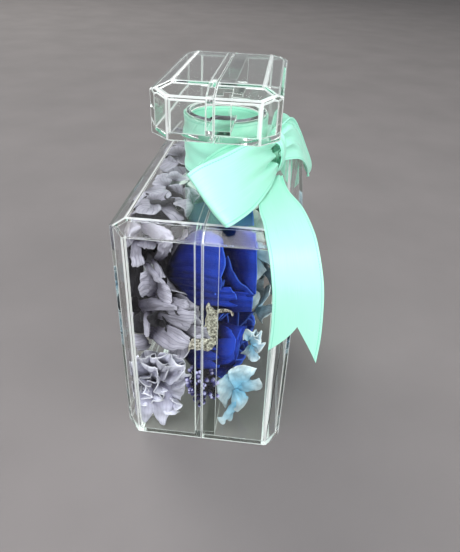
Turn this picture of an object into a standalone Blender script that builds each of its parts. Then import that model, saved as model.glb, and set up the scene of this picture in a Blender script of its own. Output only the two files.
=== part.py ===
"""Preserved roses and hydrangea in a clear bottle-shaped case, tied at the neck with satin ribbon.

The case stands on its flat base. X runs along its width, Y through its depth and Z up.
The flowers face -Y, the side of the bow. Each shape is drawn about the middle of the case's base,
and at the end the whole moves so that the middle of its outer box stands over the origin.
"""
import math
import random

import bmesh
import bpy
from mathutils import Matrix, Vector

MM = 0.001

# The case: a bottle body, a round neck and a block cap, moulded as two trays that meet at Y = 0
WALL = 1.8 * MM
SEAM_GAP = 0.3 * MM
BODY = dict(half_width=51.75 * MM, half_depth=29.0 * MM, bottom=0.0, top=90.0 * MM,
            bevel_depth=4.9 * MM, side_bevel=4.0 * MM, top_bevel=2.6 * MM, bottom_bevel=3.2 * MM,
            cut_width=4.9 * MM, cut_height=4.1 * MM)
CAP = dict(half_width=32.2 * MM, half_depth=19.8 * MM, bottom=109.1 * MM, top=125.0 * MM,
           bevel_depth=5.9 * MM, side_bevel=4.8 * MM, top_bevel=2.2 * MM, bottom_bevel=0.6 * MM,
           cut_width=7.7 * MM, cut_height=2.7 * MM)
NECK_RADIUS = 13.5 * MM
NECK_BORE = 12.2 * MM
NECK_SIDES = 32

# The lip of the back tray, which slides inside the front tray's rim
LIP_REACH = 5.0 * MM
LIP_FOOT = 2.5 * MM
LIP_THICKNESS = 1.0 * MM
LIP_GAP = 0.3 * MM
LIP_SINK = 0.6 * MM

# Petals, and the room that each bloom keeps to its neighbours
BLADE = 0.7 * MM
BLOOM_GAP = 0.25 * MM
EASE_BAND = 2.0 * MM
LIP_EASE = 4.0 * MM
STEM_RADIUS = 1.5 * MM
STEM_CLEARANCE = 3.0 * MM
STEM_SIDES = 6
FLORET_STEPS = 16
HEAD_CORE = 0.32

# The satin ribbon
RIBBON_THICKNESS = 0.8 * MM
WRAP_RADIUS = 14.2 * MM
WRAP_BOTTOM = 90.4 * MM
WRAP_TOP = 108.6 * MM
KNOT_CENTRE = Vector((-3.5, -18.5, 98.2)) * MM
KNOT_HALF = Vector((5.8, 3.5, 7.0)) * MM

# Each bloom's middle and reach, in millimetres, with a stem to the back wall where it has one
BLOOMS = {
    "rose_upper": ((-25, 1, 66), 20, True),
    "rose_lower": ((-26, -1, 34), 18, True),
    "hydrangea_grey_upper": ((-31, 19, 79), 15, True),
    "hydrangea_grey_middle": ((-42, 15, 54), 15, True),
    "ruffled_bloom": ((-39, 14, 22), 16, True),
    "bud_spray": ((-45, -0.5, 25), 10, False),
    "seed_pod": ((-45.5, -2, 51), 8, False),
    "floret_blue_front": ((-45, -14, 23), 13, False),
    "floret_blue_side": ((-35, -14.6, 34), 8.5, False),
    "hydrangea_white_top": ((-7, 6, 81), 11, True),
    "hydrangea_grey_far": ((17, 15, 71), 22, True),
    "hydrangea_blue_far": ((18, 4, 28), 23, True),
    "hydrangea_white_far": ((38, -2, 55), 17, True),
}

COLOURS = {
    "clear_plastic": ((0.86, 0.93, 0.90), 0.06),
    "rose_blue": ((0.030, 0.055, 0.42), 0.75),
    "hydrangea_grey": ((0.36, 0.34, 0.44), 0.85),
    "hydrangea_white": ((0.62, 0.72, 0.68), 0.85),
    "hydrangea_blue": ((0.33, 0.52, 0.68), 0.85),
    "ruffle_lilac": ((0.56, 0.55, 0.68), 0.85),
    "floret_blue": ((0.36, 0.66, 0.88), 0.80),
    "bud_navy": ((0.035, 0.035, 0.12), 0.60),
    "pod_beige": ((0.45, 0.42, 0.27), 0.90),
    "satin_mint": ((0.38, 0.90, 0.72), 0.35),
}


def material(name):
    """A plain Principled material with the part's colour and roughness."""
    found = bpy.data.materials.get(name)
    if found:
        return found
    colour, roughness = COLOURS[name]
    made = bpy.data.materials.new(name)
    made.use_nodes = True
    shader = made.node_tree.nodes["Principled BSDF"]
    shader.inputs["Base Color"].default_value = (*colour, 1.0)
    shader.inputs["Roughness"].default_value = roughness
    shader.inputs["Metallic"].default_value = 0.0
    if name == "clear_plastic":
        shader.inputs["Transmission Weight"].default_value = 0.9
    return made


def clear_scene():
    for old in list(bpy.data.objects):
        bpy.data.objects.remove(old, do_unlink=True)


def collection(name):
    made = bpy.data.collections.new(name)
    bpy.context.scene.collection.children.link(made)
    return made


def object_from(bm, name, home):
    """Turn a bmesh into an object in a collection."""
    mesh = bpy.data.meshes.new(name)
    bm.to_mesh(mesh)
    bm.free()
    made = bpy.data.objects.new(name, mesh)
    home.objects.link(made)
    return made


def apply_modifiers(target):
    """Replace an object's mesh by its evaluated mesh and drop its modifiers."""
    graph = bpy.context.evaluated_depsgraph_get()
    mesh = bpy.data.meshes.new_from_object(target.evaluated_get(graph))
    target.modifiers.clear()
    target.data = mesh


def combine(target, tool, operation):
    """Apply one Boolean with another object, and remove that object."""
    cut = target.modifiers.new("cut", "BOOLEAN")
    cut.operation = operation
    cut.object = tool
    cut.solver = "EXACT"
    apply_modifiers(target)
    bpy.data.objects.remove(tool, do_unlink=True)


def block_planes(spec, inset):
    """The point and outward normal of each bevel and corner cut of a block, moved in by an inset."""
    flat_depth = spec["half_depth"] - spec["bevel_depth"]
    planes = []
    for side in (-1, 1):
        point = Vector((side * spec["half_width"], 0, spec["top"] - spec["cut_height"]))
        planes.append((point, Vector((side * spec["cut_height"], 0, spec["cut_width"]))))
        for face in (-1, 1):
            edge = Vector((side * spec["half_width"], face * flat_depth, 0))
            planes.append((edge, Vector((side * spec["bevel_depth"], face * spec["side_bevel"], 0))))
    for face in (-1, 1):
        top_edge = Vector((0, face * flat_depth, spec["top"]))
        planes.append((top_edge, Vector((0, face * spec["top_bevel"], spec["bevel_depth"]))))
        low_edge = Vector((0, face * flat_depth, spec["bottom"]))
        planes.append((low_edge, Vector((0, face * spec["bottom_bevel"], -spec["bevel_depth"]))))
    return [(point - normal.normalized() * inset, normal.normalized()) for point, normal in planes]


def block(name, spec, inset, home):
    """A box cut by its bevel planes and corner cuts."""
    bm = bmesh.new()
    bmesh.ops.create_cube(bm, size=2.0)
    half_height = (spec["top"] - spec["bottom"]) / 2
    size = Vector((spec["half_width"] - inset, spec["half_depth"] - inset, half_height - inset))
    bmesh.ops.scale(bm, vec=size, verts=bm.verts)
    bmesh.ops.translate(bm, vec=(0, 0, spec["bottom"] + half_height), verts=bm.verts)
    for point, normal in block_planes(spec, inset):
        everything = bm.verts[:] + bm.edges[:] + bm.faces[:]
        cut = bmesh.ops.bisect_plane(bm, geom=everything, plane_co=point, plane_no=normal,
                                     clear_outer=True)
        rim = [item for item in cut["geom_cut"] if isinstance(item, bmesh.types.BMEdge)]
        if rim:
            bmesh.ops.contextual_create(bm, geom=rim)
    bmesh.ops.recalc_face_normals(bm, faces=bm.faces)
    return object_from(bm, name, home)


def box(name, low, high, home):
    bm = bmesh.new()
    bmesh.ops.create_cube(bm, size=1.0)
    bmesh.ops.scale(bm, vec=high - low, verts=bm.verts)
    bmesh.ops.translate(bm, vec=(high + low) / 2, verts=bm.verts)
    return object_from(bm, name, home)


def rod(name, start, end, radius, sides, home):
    """A straight round rod between two points."""
    bm = bmesh.new()
    along = end - start
    place = Matrix.Translation((start + end) / 2) @ along.to_track_quat("Z", "Y").to_matrix().to_4x4()
    bmesh.ops.create_cone(bm, cap_ends=True, segments=sides, radius1=radius, radius2=radius,
                          depth=along.length, matrix=place)
    return object_from(bm, name, home)


def ball(name, centre, size, rings, home):
    """A low sphere stretched to three half sizes."""
    bm = bmesh.new()
    bmesh.ops.create_uvsphere(bm, u_segments=rings * 2, v_segments=rings, radius=1.0)
    bmesh.ops.scale(bm, vec=size, verts=bm.verts)
    bmesh.ops.translate(bm, vec=centre, verts=bm.verts)
    return object_from(bm, name, home)


def bottle_form(name, inset, neck_radius, home):
    """Body, neck and cap in one closed form, at full size or moved in by a wall."""
    form = block(name, BODY, inset, home)
    low = Vector((0, 0, BODY["top"] - inset - WALL))
    high = Vector((0, 0, CAP["bottom"] + inset + WALL))
    combine(form, rod("neck", low, high, neck_radius, NECK_SIDES, home), "UNION")
    combine(form, block("cap", CAP, inset, home), "UNION")
    return form


def lip_ring(name, spec, outer_inset, y_low, y_high, home):
    """A band that follows a block's inside, between two depths."""
    ring = block(name, spec, outer_inset, home)
    inner_inset = WALL + LIP_GAP + LIP_THICKNESS
    combine(ring, block("ring_inside", spec, inner_inset, home), "DIFFERENCE")
    wide = spec["half_width"] * 2
    slab = box("slab", Vector((-wide, y_low, -wide)), Vector((wide, y_high, wide * 2)), home)
    combine(ring, slab, "INTERSECT")
    return ring


def make_case(home):
    """Two clear trays: the back one carries the lip that the front one slides over."""
    wide = BODY["half_width"] * 2
    for name, side in (("case_back_half", 1), ("case_front_half", -1)):
        half = bottle_form(name, 0.0, NECK_RADIUS, home)
        combine(half, bottle_form("hollow", WALL, NECK_BORE, home), "DIFFERENCE")
        near, far = side * SEAM_GAP / 2, side * wide
        space = box("space", Vector((-wide, min(near, far), -wide)),
                    Vector((wide, max(near, far), wide * 2)), home)
        combine(half, space, "INTERSECT")
        if side > 0:
            for spec in (BODY, CAP):
                band = lip_ring("lip", spec, WALL + LIP_GAP, -LIP_REACH, LIP_FOOT, home)
                foot = lip_ring("lip_foot", spec, WALL - LIP_SINK, SEAM_GAP / 2, LIP_FOOT, home)
                combine(band, foot, "UNION")
                bore = rod("bore", Vector((0, 0, BODY["top"] - 4 * WALL)),
                           Vector((0, 0, CAP["bottom"] + 3 * WALL)), NECK_BORE, NECK_SIDES, home)
                combine(band, bore, "DIFFERENCE")
                combine(half, band, "UNION")
        half.data.materials.clear()
        half.data.materials.append(material("clear_plastic"))


def on_curve(points, share):
    """The point at one share of a smooth curve through the given points."""
    ends = [2 * points[0] - points[1]] + list(points) + [2 * points[-1] - points[-2]]
    place = min(share, 1 - 1e-9) * (len(points) - 1)
    span = int(place)
    t = place - span
    a, b, c, d = ends[span:span + 4]
    return 0.5 * (2 * b + (c - a) * t + (2 * a - 5 * b + 4 * c - d) * t * t
                  + (3 * b - a - 3 * c + d) * t * t * t)


def ribbon(name, stations, steps, home, notch=0.0):
    """A flat ribbon between a lower and an upper edge curve, its far end cut to a swallow-tail."""
    lower = [Vector(low) * MM for low, high in stations]
    upper = [Vector(high) * MM for low, high in stations]
    bm = bmesh.new()
    bmesh.ops.create_grid(bm, x_segments=steps, y_segments=2, size=1.0)
    for vert in bm.verts:
        side = (vert.co.y + 1) / 2
        share = (vert.co.x + 1) / 2
        share -= notch * (1 - abs(2 * side - 1)) * share ** 4
        vert.co = on_curve(lower, share).lerp(on_curve(upper, share), side)
    bmesh.ops.triangulate(bm, faces=bm.faces)
    made = object_from(bm, name, home)
    thick = made.modifiers.new("thickness", "SOLIDIFY")
    thick.thickness = RIBBON_THICKNESS
    thick.offset = 0.0
    made.data.materials.append(material("satin_mint"))
    return made


def make_ribbon(home):
    """The neck wrap, the knot at the front, two loops and two cut tails."""
    bm = bmesh.new()
    top = bm.verts.new((WRAP_RADIUS, 0, WRAP_TOP))
    low = bm.verts.new((WRAP_RADIUS, 0, WRAP_BOTTOM))
    bm.edges.new((top, low))
    wrap = object_from(bm, "ribbon_neck_wrap", home)
    turn = wrap.modifiers.new("turn", "SCREW")
    turn.steps = turn.render_steps = NECK_SIDES
    turn.use_merge_vertices = True
    turn.merge_threshold = 0.0001
    thick = wrap.modifiers.new("thickness", "SOLIDIFY")
    thick.thickness = RIBBON_THICKNESS
    thick.offset = 0.0
    wrap.data.materials.append(material("satin_mint"))

    knot = ball("ribbon_knot", KNOT_CENTRE, KNOT_HALF, 8, home)
    knot.data.materials.append(material("satin_mint"))

    near_loop = [((-9.6, -20.2, 93.0), (-9.6, -17.0, 104.0)),
                 ((-18, -19.6, 93.0), (-17, -13.2, 106.0)),
                 ((-28, -17.8, 93.0), (-25.5, -7.8, 107.0)),
                 ((-38, -13.5, 92.3), (-34.5, -2.0, 106.4)),
                 ((-46, -8.0, 91.8), (-40, 2.2, 105.5)),
                 ((-44.5, -5.4, 91.3), (-35.5, 4.6, 103.0)),
                 ((-37, -5.4, 91.3), (-28.5, 3.9, 101.5)),
                 ((-29, -8.0, 91.4), (-22.5, 1.6, 102.5)),
                 ((-22, -11.0, 91.6), (-18.5, -2.2, 104.0)),
                 ((-16, -13.7, 91.9), (-15.2, -7.6, 105.0)),
                 ((-9.8, -16.4, 92.6), (-10.4, -13.2, 104.6))]
    ribbon("ribbon_loop_near", near_loop, 26, home)
    far_loop = [((2.6, -20.2, 92.6), (2.9, -17.6, 104.0)),
                ((7.0, -23.4, 91.8), (12.0, -23.2, 106.0)),
                ((11.5, -27.2, 90.2), (20.0, -27.4, 99.2)),
                ((15.5, -30.4, 86.6), (27.0, -30.6, 90.6)),
                ((19.0, -32.2, 82.0), (33.0, -33.4, 81.5)),
                ((21.5, -32.2, 79.4), (36.0, -33.0, 76.6)),
                ((23.5, -30.4, 83.0), (37.0, -31.0, 80.5)),
                ((22.8, -29.8, 88.6), (35.5, -29.2, 90.4)),
                ((18.0, -24.0, 92.8), (28.0, -22.0, 101.5)),
                ((10.5, -18.8, 93.0), (16.0, -16.8, 105.8)),
                ((2.6, -16.9, 92.8), (3.0, -16.0, 104.6))]
    ribbon("ribbon_loop_far", far_loop, 26, home)
    near_tail = [((-9.5, -16.6, 91.1), (-8.5, -21.6, 91.2)),
                 ((-20, -14.2, 91.1), (-13.5, -22.4, 91.2)),
                 ((-36, -15.1, 91.1), (-21.5, -24.2, 91.2)),
                 ((-46.5, -17.0, 91.5), (-33.0, -28.4, 91.4)),
                 ((-54.0, -18.3, 90.8), (-43.5, -31.6, 89.6)),
                 ((-58.0, -19.7, 87.6), (-48.6, -33.6, 85.6)),
                 ((-60.0, -20.9, 81.0), (-51.0, -36.0, 76.9)),
                 ((-60.0, -21.6, 74.2), (-52.0, -37.2, 68.6)),
                 ((-58.4, -22.0, 62.0), (-52.2, -38.0, 56.0)),
                 ((-57.0, -21.8, 52.9), (-52.0, -37.8, 45.0))]
    ribbon("ribbon_tail_near", near_tail, 24, home, notch=0.14)
    far_tail = [((2.8, -16.2, 91.2), (2.2, -21.0, 91.2)),
                ((9.0, -14.2, 91.2), (6.0, -21.0, 91.2)),
                ((15.5, -9.8, 91.1), (12.5, -21.2, 91.1)),
                ((26.0, -4.5, 91.1), (23.5, -22.0, 91.1)),
                ((38.0, -5.0, 91.1), (36.5, -22.4, 91.1)),
                ((47.6, -6.0, 91.1), (46.6, -23.6, 91.1)),
                ((53.8, -7.0, 87.2), (53.4, -24.6, 86.8)),
                ((56.0, -8.0, 79.0), (55.6, -25.6, 78.0)),
                ((55.4, -9.0, 70.0), (55.0, -26.6, 68.4)),
                ((54.8, -9.6, 62.0), (54.4, -27.0, 59.4))]
    ribbon("ribbon_tail_far", far_tail, 22, home, notch=0.14)


def cavity_planes():
    """The inside of the walls as planes, and whether the lip runs along each of them."""
    flat = WALL + BLOOM_GAP
    planes = [(point, normal, abs(normal.y) < 0.01) for point, normal in block_planes(BODY, flat)]
    for side in (-1, 1):
        planes.append((Vector((side * (BODY["half_width"] - flat), 0, 0)), Vector((side, 0, 0)), True))
        planes.append((Vector((0, side * (BODY["half_depth"] - flat), 0)), Vector((0, side, 0)), False))
    planes.append((Vector((0, 0, BODY["top"] - flat)), Vector((0, 0, 1)), True))
    planes.append((Vector((0, 0, BODY["bottom"] + flat)), Vector((0, 0, -1)), True))
    return planes


def lip_height(depth):
    """How far the lip stands in from the wall at one depth, with a slope on either side."""
    past = max(-LIP_REACH - depth, depth - LIP_FOOT, 0.0) - BLOOM_GAP - BLADE
    share = 1.0 - max(0.0, min(1.0, past / LIP_EASE))
    return (LIP_GAP + LIP_THICKNESS) * share


class Room:
    """The convex room of one bloom: inside the case, and nearer to it than to any other bloom."""

    def __init__(self, name):
        middle, reach, has_stem = BLOOMS[name]
        self.middle = Vector(middle) * MM
        self.reach = reach * MM
        self.planes = cavity_planes()
        self.rods = []
        for other, (site, other_reach, other_stem) in BLOOMS.items():
            if other == name:
                continue
            apart = Vector(site) * MM - self.middle
            share = (apart.length_squared + self.reach ** 2 - (other_reach * MM) ** 2)
            along = apart.normalized()
            border = self.middle + along * (share / (2 * apart.length) - BLOOM_GAP)
            self.planes.append((border, along, False))
            if other_stem:
                self.rods.append(stem_line(other))

    def ray(self, direction):
        """How far the room reaches from its middle in one direction."""
        reach = 1.0
        for point, normal, _ in self.planes:
            slope = normal.dot(direction)
            if slope > 1e-6:
                reach = min(reach, (point - self.middle).dot(normal) / slope)
        return reach

    def depth_inside(self, point, border):
        place, normal, lipped = border
        return (place - point).dot(normal) - (lip_height(point.y) if lipped else 0.0)

    def ease(self, point, edge=BLADE * 0.55):
        """Bend a point smoothly back into the room, then hold it there."""
        span = EASE_BAND - edge
        for border in self.planes:
            inside = self.depth_inside(point, border)
            if inside < EASE_BAND:
                eased = edge + span * math.exp((inside - EASE_BAND) / span)
                point = point - border[1] * (eased - inside)
        for _ in range(4):
            for border in self.planes:
                inside = self.depth_inside(point, border)
                if inside < edge:
                    point = point - border[1] * (edge - inside)
        return point

    def meets_stem(self, points):
        """Whether any point comes close to the stem of another bloom."""
        for start, end in self.rods:
            length = end - start
            for point in points:
                along = max(0.0, min(1.0, (point - start).dot(length) / length.length_squared))
                if (point - start.lerp(end, along)).length < STEM_RADIUS + STEM_CLEARANCE:
                    return True
        return False


def stem_line(name):
    """A bloom's cut stem runs straight back to the back wall."""
    start = Vector(BLOOMS[name][0]) * MM
    end = Vector((start.x, BODY["half_depth"] - WALL - SEAM_GAP, start.z))
    return start, end


def finish_blade(bm, name, room, home):
    """Give a shaped sheet its thickness, unless it would meet the stem of another bloom."""
    if room.meets_stem([vert.co for vert in bm.verts]):
        bm.free()
        return None
    bmesh.ops.recalc_face_normals(bm, faces=bm.faces)
    bmesh.ops.triangulate(bm, faces=bm.faces)
    made = object_from(bm, name, home)
    thick = made.modifiers.new("thickness", "SOLIDIFY")
    thick.thickness = BLADE
    thick.offset = 0.0
    apply_modifiers(made)
    return made


def blade(name, shape, across, along, room, home):
    """A petal: a grid shaped by a formula and bent into its room."""
    bm = bmesh.new()
    bmesh.ops.create_grid(bm, x_segments=across, y_segments=along, size=1.0)
    for vert in bm.verts:
        vert.co = room.ease(shape(vert.co.x, (vert.co.y + 1) / 2))
    return finish_blade(bm, name, room, home)


def fuse(name, core, colour, pieces, home):
    """Join a bloom's petals to its core with one union, and drop any loose scrap."""
    join = core.modifiers.new("join", "BOOLEAN")
    join.operation = "UNION"
    join.operand_type = "COLLECTION"
    join.collection = pieces
    join.solver = "MANIFOLD"
    apply_modifiers(core)
    for used in list(pieces.objects):
        bpy.data.objects.remove(used, do_unlink=True)
    bpy.data.collections.remove(pieces)
    keep_largest(core.data)
    core.name = name
    core.data.materials.clear()
    core.data.materials.append(material(colour))
    return core


def keep_largest(mesh):
    """Keep the body with the most faces, and fill what the union sealed inside it."""
    bm = bmesh.new()
    bm.from_mesh(mesh)
    bmesh.ops.triangulate(bm, faces=bm.faces)
    unseen = set(bm.faces)
    groups = []
    while unseen:
        queue = [unseen.pop()]
        group = set(queue)
        while queue:
            face = queue.pop()
            for edge in face.edges:
                if len(edge.link_faces) != 2:
                    continue
                for neighbour in edge.link_faces:
                    if neighbour in unseen:
                        unseen.remove(neighbour)
                        group.add(neighbour)
                        queue.append(neighbour)
        groups.append(group)
    groups.sort(key=len, reverse=True)
    extra = [face for group in groups[1:] for face in group]
    bmesh.ops.delete(bm, geom=extra, context="FACES")
    bm.to_mesh(mesh)
    bm.free()


def stem(name, pieces):
    start, end = stem_line(name)
    return rod("stem", start, end, STEM_RADIUS, STEM_SIDES, pieces)


def frame_for(direction, spin):
    """Two directions square to a third, turned about it."""
    first = direction.orthogonal().normalized()
    second = direction.cross(first)
    return (first * math.cos(spin) + second * math.sin(spin),
            second * math.cos(spin) - first * math.sin(spin))


def floret(room, centre, facing, length, rings, draw, pieces):
    """One blade cut to four broad lobes around a middle, cupped and waved."""
    out, side = frame_for(facing, draw.uniform(0, math.tau))
    cup = draw.uniform(-0.10, 0.40)
    wave = draw.uniform(0.06, 0.16)
    phase = draw.uniform(0, math.tau)
    bm = bmesh.new()
    spoke = [bm.verts.new((ring / rings, 0, 0)) for ring in range(rings + 1)]
    edges = [bm.edges.new(pair) for pair in zip(spoke, spoke[1:])]
    bmesh.ops.spin(bm, geom=spoke + edges, axis=(0, 0, 1), cent=(0, 0, 0), angle=math.tau,
                   steps=FLORET_STEPS, use_duplicate=False)
    bmesh.ops.remove_doubles(bm, verts=bm.verts, dist=1e-4)
    for vert in bm.verts:
        reach = vert.co.length
        turn = math.atan2(vert.co.y, vert.co.x)
        lobe = 1 - reach * 0.42 * (1 - abs(math.cos(2 * turn)) ** 0.6)
        rise = cup * reach * reach + wave * reach * math.sin(3 * turn + phase)
        flat = out * math.cos(turn) + side * math.sin(turn)
        vert.co = room.ease(centre + flat * (length * reach * lobe) + facing * (length * rise))
    return finish_blade(bm, "floret", room, pieces)


def make_hydrangea(name, colour, count, length, rings, seed, home):
    """A head of florets around a smaller core, spread to the borders of its room."""
    room = Room(name)
    draw = random.Random(seed)
    pieces = collection("pieces")
    core = ball("core", room.middle, Vector((1, 1, 1)) * room.reach * HEAD_CORE, 4, home)
    stem(name, pieces)
    for index in range(count):
        height = 1 - 2 * (index + 0.5) / count
        turn = index * math.pi * (3 - math.sqrt(5)) + seed
        around = math.sqrt(1 - height * height)
        facing = Vector((around * math.cos(turn), height, around * math.sin(turn)))
        reach = min(room.ray(facing) - 2.0 * MM, room.reach)
        if reach < room.reach * HEAD_CORE:
            continue
        centre = room.middle + facing * reach
        if room.meets_stem([room.middle.lerp(centre, step / 6) for step in range(7)]):
            continue
        rod("stalk", room.middle, centre, 0.8 * MM, 4, pieces)
        floret(room, centre, facing, length, rings, draw, pieces)
    return fuse(name, core, colour, pieces, home)


def make_rose(name, axis, radius, depth, seed, home):
    """A cup of overlapping petals in four rounds around a bud, its outer rims curled back."""
    room = Room(name)
    draw = random.Random(seed)
    pieces = collection("pieces")
    axis = axis.normalized()
    root = room.middle - axis * depth * 0.5
    core_size = Vector((0.42 * radius, 0.42 * depth, 0.42 * radius))
    core = ball("core", root + axis * depth * 0.44, core_size, 5, home)
    stem(name, pieces)
    rounds = ((0.52, 1.04, 2, 1.50, 0.02), (0.75, 0.98, 3, 1.22, 0.10), (0.98, 0.86, 4, 1.00, 0.24))
    for layer, (spread, height, petals, span, curl) in enumerate(rounds):
        for index in range(petals):
            turn = math.tau * (index + 0.37 * layer) / petals + draw.uniform(-0.10, 0.10)
            lift = draw.uniform(-0.04, 0.04)
            phase = draw.uniform(0, math.tau)

            def shape(u, t, turn=turn, lift=lift, phase=phase, spread=spread, height=height,
                      span=span, curl=curl):
                wide = span * (0.55 + 0.45 * math.sin(math.pi * min(t * 0.62 + 0.08, 1.0)))
                first, second = frame_for(axis, turn + u * wide)
                swell = math.sin(math.pi * 0.5 * min(1.0, t * 1.35)) ** 0.8
                rim = max(0.0, t - 0.66) / 0.34
                out = radius * spread * (0.12 + 0.88 * swell) * (1 + 0.07 * u)
                out += radius * rim * rim * (curl + 0.05 * math.sin(3 * u + phase))
                up = depth * ((height + lift) * t - 0.30 * curl * rim * rim - 0.10 * u * u * t)
                return root + axis * up + first * out

            blade("petal", shape, 4, 3, room, pieces)
    return fuse(name, core, "rose_blue", pieces, home)


def make_ruffled_bloom(name, seed, home):
    """A loose double bloom of fan-shaped petals with toothed outer edges."""
    room = Room(name)
    draw = random.Random(seed)
    pieces = collection("pieces")
    core = ball("core", room.middle, Vector((1, 1, 1)) * 4.0 * MM, 4, home)
    stem(name, pieces)
    count = 9
    axis = Vector((-0.72, -0.45, 0.10)).normalized()
    for index in range(count):
        lean = math.radians(15 + 95 * (index / (count - 1)))
        first, second = frame_for(axis, index * 2.4)
        out = (axis * math.cos(lean) + first * math.sin(lean)).normalized()
        lift = (axis * math.sin(lean) - first * math.cos(lean)).normalized()
        reach = draw.uniform(15.0, 18.5) * MM
        phase = draw.uniform(0, math.tau)

        def shape(u, t, out=out, side=second, lift=lift, reach=reach, phase=phase):
            width = reach * 0.52 * math.sin(math.pi * (0.06 + 0.80 * t)) ** 0.8
            tooth = 1.0 + 0.10 * t * math.cos(u * math.pi * 2.0) - 0.16 * t * u * u
            ruffle = 0.14 * t * math.sin(4.0 * u + phase) + 0.22 * t * t * u * u
            return (room.middle + out * (reach * t * tooth) + side * (width * u)
                    + lift * (reach * ruffle))

        blade("petal", shape, 4, 2, room, pieces)
    return fuse(name, core, "ruffle_lilac", pieces, home)


def make_loose_floret(name, facing, petals, seed, home):
    """One loose floret of large separate petals, each given by its turn and its length."""
    room = Room(name)
    draw = random.Random(seed)
    pieces = collection("pieces")
    core = ball("core", room.middle, Vector((1, 1, 1)) * 1.6 * MM, 4, home)
    facing = Vector(facing).normalized()
    right = facing.cross(Vector((0, 0, 1))).normalized()
    top = right.cross(facing)
    for turn, length in petals:
        out = right * math.cos(turn) + top * math.sin(turn)
        side = facing.cross(out)
        cup = draw.uniform(-0.15, 0.35)
        phase = draw.uniform(0, math.tau)

        def shape(u, t, out=out, side=side, cup=cup, phase=phase, reach=length * MM):
            width = reach * 0.50 * math.sin(math.pi * (0.08 + 0.82 * t)) ** 0.75
            rise = cup * t * t + 0.14 * t * math.sin(3 * u + phase)
            return room.middle + out * (reach * t) + side * (width * u) + facing * (reach * rise)

        blade("petal", shape, 3, 3, room, pieces)
    return fuse(name, core, "floret_blue", pieces, home)


def make_bud_spray(name, seed, home):
    """Thin branches from one joint, each with a round bud at its end."""
    room = Room(name)
    draw = random.Random(seed)
    pieces = collection("pieces")
    joint = room.middle + Vector((1.5, -0.5, -1.5)) * MM
    core = ball("core", joint, Vector((1, 1, 1)) * 1.3 * MM, 4, home)
    count = 13
    for index in range(count):
        height = 1 - 2 * (index + 0.5) / count
        turn = index * 2.4
        around = math.sqrt(1 - height * height)
        facing = Vector((around * math.cos(turn) - 0.5, around * math.sin(turn), height)).normalized()
        reach = max(3.0 * MM, min(room.ray(facing), 10.5 * MM)) * draw.uniform(0.8, 1.0)
        size = draw.uniform(0.9, 1.25) * MM
        tip = room.ease(room.middle + facing * reach, size)
        rod("branch", joint, tip, 0.4 * MM, 3, pieces)
        ball("bud", tip, Vector((size, size, size)), 3, pieces)
    return fuse(name, core, "bud_navy", pieces, home)


def make_seed_pod(name, home):
    """A dried husk split into curled, pointed lobes."""
    room = Room(name)
    pieces = collection("pieces")
    core = ball("core", room.middle, Vector((1.5, 2.2, 2.2)) * MM, 4, home)
    lobes = ((1.75, 11.0), (0.55, 12.0), (3.65, 11.5), (4.15, 11.5), (4.75, 10.5))
    facing = Vector((-1, -0.1, 0.1)).normalized()
    for turn, reach in lobes:
        out = Vector((0, -math.cos(turn), math.sin(turn)))
        side = facing.cross(out).normalized()

        def shape(u, t, out=out, side=side, reach=reach * MM):
            width = 2.9 * MM * (1 - t) ** 0.7 + 0.45 * MM
            curl = 0.30 * math.sin(math.pi * t) - 0.22 * u * u
            return (room.middle + out * (reach * t) + side * (width * u)
                    - facing * (reach * 0.2 * (curl - 0.2)))

        blade("lobe", shape, 2, 3, room, pieces)
    return fuse(name, core, "pod_beige", pieces, home)


def stand_over_origin(home):
    """Move every part so that the whole stands centred over the origin."""
    graph = bpy.context.evaluated_depsgraph_get()
    corners = [Vector(corner) for part in home.objects for corner in part.evaluated_get(graph).bound_box]
    low = Vector(min(corner[axis] for corner in corners) for axis in range(3))
    high = Vector(max(corner[axis] for corner in corners) for axis in range(3))
    for part in home.objects:
        part.location = -Vector(((low.x + high.x) / 2, (low.y + high.y) / 2, low.z))


def main():
    clear_scene()
    home = collection("preserved_rose_in_bottle")
    make_case(home)
    make_ribbon(home)
    make_rose("rose_upper", Vector((-0.10, -1.0, 0.08)), 17.5 * MM, 29.0 * MM, 3, home)
    make_rose("rose_lower", Vector((-0.16, -1.0, -0.04)), 16.0 * MM, 27.0 * MM, 5, home)
    make_hydrangea("hydrangea_grey_upper", "hydrangea_grey", 7, 12.5 * MM, 2, 21, home)
    make_hydrangea("hydrangea_grey_middle", "hydrangea_grey", 7, 12.5 * MM, 2, 22, home)
    make_ruffled_bloom("ruffled_bloom", 24, home)
    make_bud_spray("bud_spray", 24, home)
    make_seed_pod("seed_pod", home)
    front_petals = ((0.75, 15.0), (-0.15, 9.5), (-2.0, 16.5), (2.6, 10.5))
    make_loose_floret("floret_blue_front", (-0.85, -0.4, 0.15), front_petals, 26, home)
    side_petals = ((1.2, 8.0), (-0.4, 7.5), (-1.9, 8.5), (2.8, 7.0))
    make_loose_floret("floret_blue_side", (-0.6, -0.7, 0.2), side_petals, 27, home)
    make_hydrangea("hydrangea_white_top", "hydrangea_white", 5, 10.0 * MM, 1, 28, home)
    make_hydrangea("hydrangea_grey_far", "hydrangea_grey", 8, 13.5 * MM, 1, 29, home)
    make_hydrangea("hydrangea_blue_far", "hydrangea_blue", 8, 13.5 * MM, 1, 30, home)
    make_hydrangea("hydrangea_white_far", "hydrangea_white", 7, 12.5 * MM, 1, 31, home)
    stand_over_origin(home)


main()
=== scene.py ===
# %% [markdown]
# A rose case is a clear, bottle-shaped box of two moulded plastic trays with preserved flowers shut inside
# and a satin ribbon tied round its neck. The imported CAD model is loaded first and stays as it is. Every
# piece made here is drawn in millimetres from the seam plane between the trays, as the CAD was, and moved
# over the CAD model's origin when its mesh is made.

# %% Load the fixed frame
import math
import random

import bmesh
import bpy
import numpy as np
from mathutils import Matrix, Vector


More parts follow.
